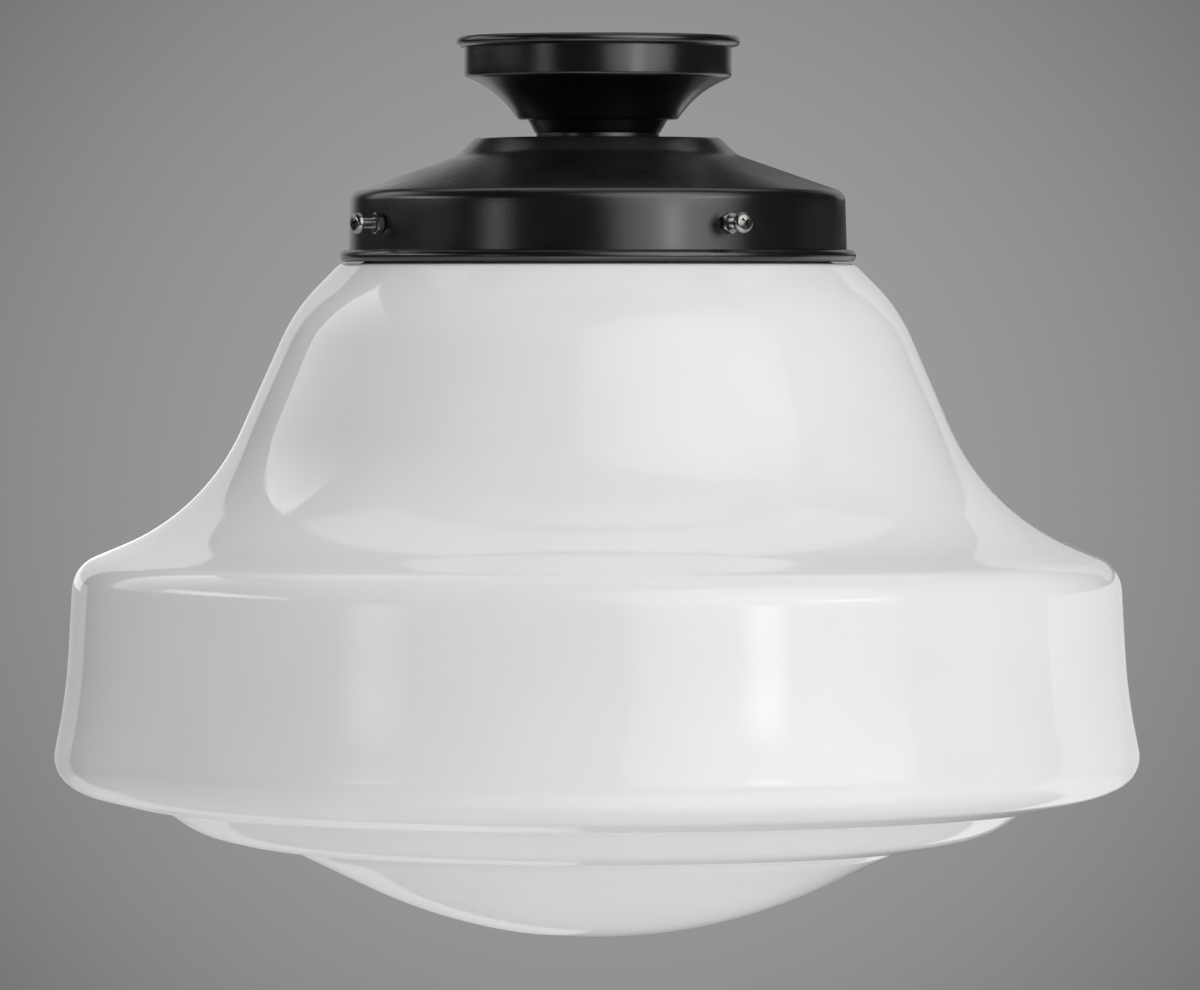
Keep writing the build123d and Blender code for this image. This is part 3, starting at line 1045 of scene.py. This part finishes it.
@dataclass
class ShadeHolder:
    """The large spun holder. A corner is its radius, drop below the flat top and round."""

    wall: float = 1.2
    bead: float = 5.0
    top: float = -42.8
    height: float = 52.0
    skirt_radius: float = 105.1
    hole_radius: float = 5.39
    curl: float = 290.0
    boss_radius: float = 4.6
    boss_depth: float = 2.6
    tapped_radius: float = 2.13
    drill_inside: float = 6.0
    drill_outside: float = 1.0
    corners: tuple[tuple[float, float, float], ...] = (
        (51.6, 0.0, 3.0),
        (58.6, 7.0, 12.0),
        (104.3, 22.9, 4.8),
    )

    def build(self, shelf: FinishShelf, screw_level: float, angles: Sequence[float]) -> None:
        """Builds the holder.

        Args:
            shelf: The finishes.
            screw_level: The height of the set screws' axes.
            angles: The directions of the set screws, in degrees.
        """
        centre = (
            self.skirt_radius - self.wall + self.bead / 2,
            self.top - self.height + self.bead / 2,
        )
        skin = [
            (self.hole_radius, self.top),
            *((radius, self.top - drop) for radius, drop, _ in self.corners),
            (self.skirt_radius, centre[1]),
        ]
        rounds = [corner[2] for corner in self.corners]
        inside, inside_rounds = parallel_skin(skin, rounds, self.wall)
        turn = math.radians(self.curl)
        section = Section(skin[0])
        section.through(skin[1:], rounds)
        section.arc(centre, turn)
        section.line_to(bead_point(centre, math.pi + turn, self.bead / 2))
        section.arc(centre, -turn)
        section.through(inside[-2::-1], inside_rounds[::-1])
        piece = as_object(section.close().spun(steps=192), "holder_shell")
        drills = [
            as_object(self._drill(angle, screw_level), f"drill_{number}")
            for number, angle in enumerate(angles, start=1)
        ]
        resharpened(carved(piece, drills, "DIFFERENCE"), SHARP)
        settle(piece, Body.FIXTURE.value, Slot.BLACK_ENAMEL, shelf, ["fitter"])
        for number, angle in enumerate(angles, start=1):
            boss = self._boss(angle, screw_level, f"holder_boss_{number}")
            settle(boss, Body.FIXTURE.value, Slot.BLACK_ENAMEL, shelf, [])

    def _drill(self, angle: float, level: float) -> bmesh.types.BMesh:
        """The solid that cuts a screw's hole in the skirt.

        Args:
            angle: The screw's direction, in degrees.
            level: The height of its axis.

        Returns:
            The mesh in millimetres.
        """
        inner = self.skirt_radius - self.drill_inside
        outer = self.skirt_radius + self.drill_outside
        section = Section((0.0, inner))
        section.through(
            [(self.tapped_radius, inner), (self.tapped_radius, outer), (0.0, outer)], [0.0, 0.0]
        )
        bm = section.spun(steps=32)
        bmesh.ops.transform(bm, matrix=outward_frame(angle, level), verts=bm.verts[:])
        return bm

    def _boss(self, angle: float, level: float, name: str) -> bpy.types.Object:
        """A tapped boss, welded inside the skirt.

        Args:
            angle: Its screw's direction, in degrees.
            level: The height of the screw's axis.
            name: The object's name.

        Returns:
            The boss.
        """
        inner = self.skirt_radius - self.wall - self.boss_depth
        outer = self.skirt_radius - self.wall / 2
        section = Section((self.tapped_radius, inner))
        for corner in (
            (self.tapped_radius, outer),
            (self.boss_radius, outer),
            (self.boss_radius, inner),
            (self.tapped_radius, inner),
        ):
            section.line_to(corner)
        bm = section.close().spun(steps=48)
        bmesh.ops.transform(bm, matrix=outward_frame(angle, level), verts=bm.verts[:])
        return as_object(bm, name)


def outward_frame(angle: float, level: float) -> Matrix:
    """The turn and shift that takes a screw from the height axis to its place in the skirt.

    Args:
        angle: The screw's direction, in degrees.
        level: The height of its axis.

    Returns:
        A matrix that turns +Z outwards and keeps +Y up.
    """
    way = Vector((math.cos(math.radians(angle)), math.sin(math.radians(angle)), 0.0))
    up = Vector((0.0, 0.0, 1.0))
    turned = Matrix((up.cross(way), up, way)).transposed().to_4x4()
    return Matrix.Translation((0.0, 0.0, level)) @ turned


@dataclass
class SetScrews:
    """The four pan-head screws with their hexagon jam nuts."""

    level: float = -78.9
    count: int = 4
    first_angle: float = -59.0
    crest: float = 2.08
    root: float = 1.72
    pitch: float = 0.79375
    tip: float = 97.0
    length: float = 18.0
    head_radius: float = 4.4
    head_height: float = 2.9
    recess_width: float = 5.2
    recess_slot: float = 1.15
    recess_depth: float = 2.1
    nut_across_flats: float = 7.94
    nut_thickness: float = 2.8
    nut_seat: float = 105.03
    nut_hole: float = 2.13
    point_chamfer: Point = (0.3, 0.5)
    thread_gap: float = 0.2
    head_edge: float = 0.5
    rounds: tuple[float, ...] = (0.1, 0.1, 0.2, 0.25, 1.9)
    cross_start: float = 20.0
    cross_step: float = 23.0
    blade_taper: Point = (0.38, 0.7)
    blade_rise: float = 0.15
    nut_face: float = 0.985
    nut_chamfer_angle: float = 32.0
    nut_bevel: float = 0.35
    lathe_room: float = 0.3

    @property
    def angles(self) -> list[float]:
        """The directions of the screws, in degrees."""
        return [self.first_angle + 360.0 * turn / self.count for turn in range(self.count)]

    def build(self, shelf: FinishShelf) -> None:
        """Builds the screws and their nuts.

        Args:
            shelf: The finishes.
        """
        for number, angle in enumerate(self.angles, start=1):
            place = outward_frame(angle, self.level)
            turned = self.cross_start + self.cross_step * number
            screw = self._screw(f"pan_head_screw_{number}", turned)
            nut = self._nut(f"hexagon_nut_{number}")
            for piece in (screw, nut):
                bm = bmesh.new()
                bm.from_mesh(piece.data)
                bmesh.ops.transform(bm, matrix=Matrix.Scale(MM, 4) @ place, verts=bm.verts[:])
                bm.to_mesh(piece.data)
                bm.free()
            settle(screw, f"set_screw_{number}", Slot.NICKEL, shelf, [f"set_screw_{number}"])
            settle(nut, f"jam_nut_{number}", Slot.NICKEL, shelf, [f"jam_nut_{number}"])

    def _screw(self, name: str, turned: float) -> bpy.types.Object:
        """One screw along +Z, in millimetres.

        Args:
            name: The object's name.
            turned: The angle of its cross, in degrees.

        Returns:
            The screw.
        """
        seat = self.tip + self.length
        top = seat + self.head_height
        head = Section((0.0, self.tip))
        head.through(
            [
                (self.root - self.point_chamfer[0], self.tip),
                (self.root, self.tip + self.point_chamfer[1]),
                (self.root, seat),
                (self.head_radius, seat),
                (self.head_radius, top - self.head_edge),
                (0.0, top),
            ],
            self.rounds,
        )
        blank = as_object(head.spun(steps=64), name, scale=1.0)
        tools = [self._blade(turned + 90.0 * half, top, f"blade_{half}") for half in range(2)]
        carved(blank, tools, "DIFFERENCE")
        bm = bmesh.new()
        bm.from_mesh(blank.data)
        ridge = thread_ridge(
            self.crest,
            self.root,
            self.pitch,
            self.tip + self.thread_gap,
            self.length - self.thread_gap,
        )
        bm = joined([bm, ridge])
        bmesh.ops.remove_doubles(bm, verts=bm.verts[:], dist=WELD)
        set_shading(bm, sharp=35.0)
        bm.to_mesh(blank.data)
        bm.free()
        return blank

    def _blade(self, turned: float, top: float, name: str) -> bpy.types.Object:
        """One tapered blade of the tool that presses the cross recess.

        Args:
            turned: The blade's angle, in degrees.
            top: The height of the crown of the head.
            name: The object's name.

        Returns:
            The blade.
        """
        bm = bmesh.new()
        bmesh.ops.create_cube(bm, size=1.0)
        size = (self.recess_width, self.recess_slot, self.recess_depth)
        bmesh.ops.scale(bm, vec=size, verts=bm.verts[:])
        low = [vert for vert in bm.verts if vert.co.z < 0]
        bmesh.ops.scale(bm, vec=(*self.blade_taper, 1.0), verts=low)
        middle = top - self.recess_depth / 2 + self.blade_rise
        bmesh.ops.translate(bm, vec=(0.0, 0.0, middle), verts=bm.verts[:])
        spin = Matrix.Rotation(math.radians(turned), 3, "Z")
        bmesh.ops.rotate(bm, cent=(0.0, 0.0, 0.0), matrix=spin, verts=bm.verts[:])
        return as_object(bm, name, scale=1.0)

    def _nut(self, name: str) -> bpy.types.Object:
        """One hexagon nut along +Z, in millimetres, with its corners turned off.

        Args:
            name: The object's name.

        Returns:
            The nut.
        """
        flat = self.nut_across_flats / 2
        corner = flat / math.cos(math.pi / 6)
        low, high = self.nut_seat, self.nut_seat + self.nut_thickness
        bm = bmesh.new()
        bmesh.ops.create_cone(
            bm, cap_ends=True, segments=6, radius1=corner, radius2=corner, depth=self.nut_thickness
        )
        bmesh.ops.translate(bm, vec=(0.0, 0.0, (low + high) / 2), verts=bm.verts[:])
        blank = as_object(bm, name, scale=1.0)
        mouth = self.nut_hole + self.nut_bevel
        face = flat * self.nut_face
        chamfer = (corner - flat) * math.tan(math.radians(self.nut_chamfer_angle))
        turned = Section((mouth, low))
        for place in (
            (face, low),
            (corner + self.lathe_room, low + chamfer + self.lathe_room),
            (corner + self.lathe_room, high - chamfer - self.lathe_room),
            (face, high),
            (mouth, high),
            (self.nut_hole, high - self.nut_bevel),
            (self.nut_hole, low + self.nut_bevel),
        ):
            turned.line_to(place)
        barrel = as_object(turned.close().spun(steps=96), "barrel", scale=1.0)
        carved(blank, [barrel], "INTERSECT")
        return resharpened(blank, sharp=25.0)


@dataclass
class OpalShade:
    """The one-piece blown shade. A corner is its outer radius, drop below the ledge and round."""

    wall: float = 3.5
    ledge: float = -95.6
    lip_bottom: float = -76.52
    lip_height: float = 5.0
    lip_radius: float = 100.0
    lip_round: float = 1.8
    lip_fillet: float = 1.2
    neck_radius: float = 95.0
    corners: tuple[tuple[float, float, float], ...] = (
        (95.0, 0.0, 6.0),
        (108.3, 0.0, 5.0),
        (127.4, 19.3, 75.0),
        (165.1, 104.1, 94.0),
        (220.5, 127.0, 15.0),
        (223.5, 180.0, 240.0),
        (230.0, 212.8, 16.0),
        (218.9, 221.2, 26.0),
        (195.0, 227.0, 30.0),
        (185.0, 227.3, 2.0),
        (169.0, 238.6, 40.0),
        (149.0, 243.2, 30.0),
        (129.8, 243.8, 2.0),
        (125.4, 248.1, 6.0),
        (52.0, 283.6, 237.0),
    )

    def build(self, shelf: FinishShelf) -> None:
        """Builds the shade.

        Args:
            shelf: The finishes.
        """
        lip_top = self.lip_bottom + self.lip_height
        inner_lip = self.neck_radius - self.wall
        skin = [(self.neck_radius, self.lip_bottom)]
        skin += [(radius, self.ledge - drop) for radius, drop, _ in self.corners]
        skin.append((0.0, skin[-1][1]))
        rounds = [corner[2] for corner in self.corners]
        inside, inside_rounds = parallel_skin(skin, rounds, self.wall)
        lip = [
            (self.lip_radius, self.lip_bottom),
            (self.lip_radius, lip_top),
            (inner_lip, lip_top),
        ]
        lip_rounds = [self.lip_fillet, *[self.lip_round] * len(lip)]
        section = Section(skin[-1])
        section.through(
            [*skin[-2::-1], *lip, *inside[1:]], [*rounds[::-1], *lip_rounds, *inside_rounds]
        )
        piece = as_object(section.spun(steps=192), "opal_shade", sharp=60.0)
        settle(piece, Body.SHADE.value, Slot.OPAL_GLASS, shelf, ["shade"])


@dataclass
class Nipple:
    """The hollow threaded nipple that holds the light together."""

    crest: float = 5.14
    root: float = 4.62
    bore: float = 3.5
    top: float = 0.0
    bottom: float = -52.2
    pitch: float = 0.9407
    chamfer: float = 0.5
    thread_gap: float = 0.2

    def build(self, shelf: FinishShelf) -> None:
        """Builds the nipple.

        Args:
            shelf: The finishes.
        """
        tube = Section((self.bore, self.bottom))
        tube.through(
            [
                (self.root - self.chamfer, self.bottom),
                (self.root, self.bottom + self.chamfer),
                (self.root, self.top - self.chamfer),
                (self.root - self.chamfer, self.top),
                (self.bore, self.top),
            ],
            [0.0] * 4,
        )
        start = self.bottom + self.thread_gap
        length = self.top - self.bottom - 2 * self.thread_gap
        ridge = thread_ridge(self.crest, self.root, self.pitch, start, length, steps=32)
        whole = joined([tube.close().spun(steps=64), ridge])
        piece = as_object(whole, "threaded_tube", sharp=35.0)
        settle(piece, Body.FIXTURE.value, Slot.ZINC_STEEL, shelf, ["threaded_nipple"])


@dataclass
class LampSocket:
    """The porcelain body of the lamp socket."""

    radius: float = 21.0
    waist: float = 19.0
    head_length: float = 13.0
    head_slope: float = 5.0
    rim_length: float = 5.0
    rim_slope: float = 5.0
    top: float = -61.5
    mouth: float = -101.5
    cavity_radius: float = 14.4
    cavity_top: float = -74.5
    edge_round: float = 1.5
    cavity_rounds: Point = (0.8, 0.6)

    def build(self, shelf: FinishShelf) -> None:
        """Builds the porcelain body.

        Args:
            shelf: The finishes.
        """
        head_end = self.top - self.head_length
        rim_top = self.mouth + self.rim_length
        body = Section((0.0, self.top))
        body.through(
            [
                (self.radius, self.top),
                (self.radius, head_end),
                (self.waist, head_end - self.head_slope),
                (self.waist, rim_top + self.rim_slope),
                (self.radius, rim_top),
                (self.radius, self.mouth),
                (self.cavity_radius, self.mouth),
                (self.cavity_radius, self.cavity_top),
                (0.0, self.cavity_top),
            ],
            [self.edge_round] * 6 + [*self.cavity_rounds],
        )
        piece = as_object(body.spun(steps=96), "socket_porcelain", sharp=40.0)
        settle(piece, Body.FIXTURE.value, Slot.PORCELAIN, shelf, ["socket_body"])


@dataclass
class Lamp:
    """The lamp: frosted envelope, threaded base and tip."""

    base_radius: float = 13.1
    base_root: float = 12.45
    base_top: float = -78.7
    base_end: float = -103.7
    tip_radius: float = 4.6
    tip_height: float = 1.4
    pitch: float = 3.629
    neck_radius: float = 12.4
    neck_start: float = 8.0
    neck_seat: float = 3.0
    bulb_radius: float = 30.0
    bulb_length: float = 48.0
    bottom: float = -187.3
    skirt_edge: Point = (1.2, 2.0)
    base_rounds: tuple[float, ...] = (1.0, 1.0, 0.5, 0.3, 0.2)
    thread_start: float = 2.5
    thread_length: float = 18.0

    def build(self, shelf: FinishShelf) -> None:
        """Builds the envelope and the base.

        Args:
            shelf: The finishes.
        """
        glass = Section((0.0, self.bottom))
        glass.through(
            [
                (self.bulb_radius, self.bottom),
                (self.bulb_radius, self.bottom + self.bulb_length),
                (self.neck_radius, self.base_end - self.neck_start),
                (self.neck_radius, self.base_end + self.neck_seat),
                (0.0, self.base_end + self.neck_seat),
            ],
            [self.bulb_radius, self.bulb_radius, self.bulb_radius, 0.0],
        )
        envelope = as_object(glass.spun(steps=96), "lamp_envelope", sharp=40.0)
        settle(envelope, Body.BULB.value, Slot.LAMP_GLASS, shelf, ["bulb_glass"])
        base = Section((0.0, self.base_top))
        base.through(
            [
                (self.tip_radius + self.tip_height, self.base_top),
                (self.base_root, self.base_top - 3 * self.tip_height),
                (self.base_root, self.base_end + self.skirt_edge[1]),
                (self.base_radius, self.base_end + self.skirt_edge[0]),
                (self.base_radius, self.base_end),
                (0.0, self.base_end),
            ],
            self.base_rounds,
        )
        start = self.base_end + self.thread_start
        ridge = thread_ridge(
            self.base_radius, self.base_root, self.pitch, start, self.thread_length, steps=48
        )
        metal = as_object(joined([base.spun(steps=96), ridge]), "lamp_screw_base", sharp=50.0)
        settle(metal, Body.BULB.value, Slot.LAMP_METAL, shelf, ["bulb_base"])


def dress_kept_parts(shelf: FinishShelf) -> None:
    """Gives each CAD part that stays its finish.

    Args:
        shelf: The finishes.
    """
    kept = {
        "mounting_strap": Slot.ZINC_STEEL,
        "strap_locknut": Slot.ZINC_STEEL,
        "fitter_locknut": Slot.ZINC_STEEL,
        "lock_washer": Slot.ZINC_STEEL,
        "socket_bracket": Slot.ZINC_STEEL,
        "socket_screws": Slot.ZINC_STEEL,
        "ground_screw": Slot.EARTH_GREEN,
        "screw_shell": Slot.BRASS,
        "centre_contact": Slot.BRASS,
        "terminal_screws": Slot.BRASS,
        "bulb_contact": Slot.LAMP_METAL,
    }
    for name, slot in kept.items():
        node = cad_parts[name]
        for holder in node.material_slots:
            holder.material = shelf[slot]
        LOG.info("%s: dressed in %s", name, slot.value)


# ---------------------------------------------------------------------------
# Studio
# ---------------------------------------------------------------------------


@dataclass(frozen=True)
class Softbox:
    """A rectangular light, aimed at the middle of the shade.

    Azimuth 0 is the camera's side and 90 the right; elevation is above the horizon. `falloff` says
    by how much the light fades from its middle to its edges, which it reaches at `fade_reach`.
    `across` and `upward` give its strength at the two ends of its width and its height, as shares
    of the radiance.
    """

    name: str
    azimuth: float
    elevation: float
    distance: float
    width: float
    height: float
    radiance: float
    falloff: float = 0.0
    across: Point = (1.0, 1.0)
    upward: Point = (1.0, 1.0)
    fade_reach: float = 0.62

    def place(self, target: Vector) -> None:
        """Puts the light into the scene.

        Args:
            target: The point that it is aimed at.
        """
        turn, lift = math.radians(self.azimuth), math.radians(self.elevation)
        way = Vector(
            (math.sin(turn) * math.cos(lift), -math.cos(turn) * math.cos(lift), math.sin(lift))
        )
        lamp = bpy.data.lights.new(self.name, "AREA")
        lamp.shape = "RECTANGLE"
        lamp.size = self.width
        lamp.size_y = self.height
        lamp.energy = self.radiance * math.pi * self.width * self.height
        self._soften(lamp)
        rig = bpy.data.objects.new(self.name, lamp)
        rig.location = target + way * self.distance
        rig.rotation_mode = "QUATERNION"
        rig.rotation_quaternion = (-way).to_track_quat("-Z", "Y")
        rig.visible_camera = False
        bpy.context.scene.collection.objects.link(rig)

    def _soften(self, lamp: bpy.types.Light) -> None:
        """Makes the light fade towards its edges and along its sides.

        Args:
            lamp: The light.
        """
        lamp.use_nodes = True
        bench = NodeBench(lamp.node_tree)
        shape = bench.add("ShaderNodeNewGeometry")
        split = bench.add("ShaderNodeSeparateXYZ", {0: shape.outputs["Parametric"]})
        aside = bench.maths("SUBTRACT", split.outputs["X"], 0.5)
        above = bench.maths("SUBTRACT", split.outputs["Y"], 0.5)
        squares = [bench.maths("MULTIPLY", offset, offset) for offset in (aside, above)]
        reach = bench.maths("SQRT", bench.maths("ADD", *squares))
        fade = bench.spread(reach, 0.0, self.fade_reach, 1.0, 1.0 - self.falloff)
        along = bench.spread(aside, -0.5, 0.5, *self.across)
        rise = bench.spread(above, -0.5, 0.5, *self.upward)
        strength = bench.maths("MULTIPLY", fade, bench.maths("MULTIPLY", along, rise))
        glow = bench.add("ShaderNodeEmission", {"Strength": strength})
        bench.add("ShaderNodeOutputLight", {"Surface": glow.outputs[0]})


@dataclass(frozen=True)
class Studio:
    """The floor, the grey surroundings, the lights and the camera of the photograph."""

    target: Vector = Vector((0.0, 0.0, -0.2))
    backdrop: Colour = (0.350, 0.350, 0.353, 1.0)
    backdrop_edge: Colour = (0.180, 0.180, 0.182, 1.0)
    dark_wall: Colour = (0.03, 0.03, 0.03, 1.0)
    ambient: Colour = (0.45, 0.45, 0.45, 1.0)
    floor_colour: Colour = (0.80, 0.80, 0.80, 1.0)
    floor_level: float = -1.3
    floor_radius: float = 5.0
    floor_fade: Point = (0.35, 0.98)
    backdrop_way: Vector = Vector((0.0, 1.0, -0.028))
    backdrop_reach: float = 0.098
    wall_reach: Point = (0.10, 0.35)
    lens: float = 239.754
    sensor_width: float = 36.0
    clip_end: float = 100.0
    camera_place: Vector = Vector((0.0011, -3.3672, -0.09828))
    tilt: float = 1.6127
    softboxes: tuple[Softbox, ...] = (
        Softbox("key_panel", 37.0, 29.0, 2.27, 2.8, 3.1, 2.2, falloff=0.78),
        Softbox("right_strip", 34.0, 4.5, 1.9, 0.32, 0.46, 3.4, falloff=0.95),
        Softbox("right_streak", 54.0, 17.5, 1.9, 0.7, 0.26, 3.5, falloff=0.8),
        Softbox("left_strip", -46.0, 4.5, 1.9, 0.46, 0.46, 1.9, falloff=0.95),
        Softbox("left_streak", -88.0, 17.5, 1.9, 1.3, 0.26, 4.6, falloff=0.8),
        Softbox(
            "left_window", -115.0, 26.0, 1.7, 0.9, 1.0, 1.9, across=(1.0, 0.0), upward=(0.45, 1.0)
        ),
        Softbox("left_rear_low", -158.0, -15.0, 1.2, 0.83, 0.80, 0.38),
        Softbox("left_rear_high", -164.0, 13.0, 2.2, 1.10, 1.10, 0.6),
        Softbox("right_rear_low", 133.0, -15.0, 1.2, 1.22, 0.80, 0.6),
        Softbox("right_rear_high", 160.0, 17.0, 2.2, 0.90, 0.90, 0.4),
        Softbox("rear_top", 180.0, 66.0, 2.2, 2.6, 1.05, 0.8, falloff=0.4),
        Softbox("top_panel", 0.0, 88.0, 1.7, 1.2, 0.5, 0.7, falloff=0.6),
        Softbox("table_bounce", 20.0, -50.0, 1.1, 1.6, 1.2, 0.8, falloff=0.6),
    )

    def build(self) -> None:
        """Builds the studio."""
        self._world()
        self._floor()
        for softbox in self.softboxes:
            softbox.place(self.target)
        self._camera()
        scene = bpy.context.scene
        scene.view_settings.view_transform = "Standard"

    def _world(self) -> None:
        """Surrounds the light with a grey backdrop, dark walls in its gloss and even light."""
        world = bpy.data.worlds.new("studio_grey")
        world.use_nodes = True
        bpy.context.scene.world = world
        bench = NodeBench(world.node_tree)
        place = bench.add("ShaderNodeTexCoord").outputs["Generated"]
        centre = tuple(self.backdrop_way.normalized())
        away = bench.add("ShaderNodeVectorMath", {0: place, 1: centre}, operation="DISTANCE")
        share = bench.spread(away.outputs["Value"], 0.0, self.backdrop_reach)
        squared = bench.maths("MULTIPLY", share, share)
        backdrop = bench.blend(squared, self.backdrop, self.backdrop_edge)
        aside = bench.spread(away.outputs["Value"], *self.wall_reach)
        mirrored = bench.blend(aside, backdrop, self.dark_wall)
        path = bench.add("ShaderNodeLightPath").outputs
        seen = bench.maths("MAXIMUM", path["Is Camera Ray"], path["Is Transmission Ray"])
        unseen = bench.blend(path["Is Glossy Ray"], self.ambient, mirrored)
        sky = bench.add("ShaderNodeBackground", {"Color": bench.blend(seen, unseen, backdrop)})
        bench.add("ShaderNodeOutputWorld", {"Surface": sky.outputs[0]})

    def _floor(self) -> None:
        """Lays a plain pale floor that fades into the grey surroundings and is clear from below."""
        bm = bmesh.new()
        bmesh.ops.create_circle(bm, cap_ends=True, radius=self.floor_radius, segments=96)
        bmesh.ops.translate(bm, vec=(0.0, 0.0, self.floor_level), verts=bm.verts[:])
        floor = as_object(bm, "studio_floor", scale=1.0)
        material = bpy.data.materials.new("pale_floor")
        material.use_nodes = True
        bench = NodeBench(material.node_tree)
        place = bench.add("ShaderNodeTexCoord").outputs["Object"]
        split = bench.add("ShaderNodeSeparateXYZ", {0: place})
        flat = bench.add("ShaderNodeCombineXYZ", {0: split.outputs["X"], 1: split.outputs["Y"]})
        reach = bench.add("ShaderNodeVectorMath", {0: flat.outputs[0]}, operation="LENGTH")
        near, far_off = (share * self.floor_radius for share in self.floor_fade)
        fade = bench.spread(reach.outputs["Value"], near, far_off)
        lit = bench.add("ShaderNodeBsdfDiffuse", {"Color": self.floor_colour})
        far = bench.add("ShaderNodeEmission", {"Color": self.backdrop_edge, "Strength": 1.0})
        mixed = bench.add("ShaderNodeMixShader", {0: fade, 1: lit.outputs[0], 2: far.outputs[0]})
        below = bench.add("ShaderNodeNewGeometry").outputs["Backfacing"]
        clear = bench.add("ShaderNodeBsdfTransparent")
        sides = {0: below, 1: mixed.outputs[0], 2: clear.outputs[0]}
        seen = bench.add("ShaderNodeMixShader", sides)
        bench.add("ShaderNodeOutputMaterial", {"Surface": seen.outputs[0]})
        floor.data.materials.append(material)

    def _camera(self) -> None:
        """Sets up the camera at the photograph's viewing angle."""
        data = bpy.data.cameras.new("photo_camera")
        data.lens = self.lens
        data.sensor_width = self.sensor_width
        data.clip_end = self.clip_end
        camera = bpy.data.objects.new("photo_camera", data)
        look = Matrix.Rotation(math.radians(90.0 - self.tilt), 4, "X")
        camera.matrix_world = Matrix.Translation(self.camera_place) @ look
        bpy.context.scene.collection.objects.link(camera)
        bpy.context.scene.camera = camera


def main() -> None:
    """Builds the light, sub-assembly by sub-assembly, and then the studio round it."""
    logging.basicConfig(level=logging.INFO, format="%(name)s: %(message)s")
    shelf = FinishShelf()
    screws = SetScrews()
    Canopy().build(shelf)
    NeckSpacer().build(shelf)
    ShadeHolder().build(shelf, screws.level, screws.angles)
    screws.build(shelf)
    OpalShade().build(shelf)
    Nipple().build(shelf)
    LampSocket().build(shelf)
    Lamp().build(shelf)
    dress_kept_parts(shelf)
    Studio().build()


if __name__ == "__main__":
    main()
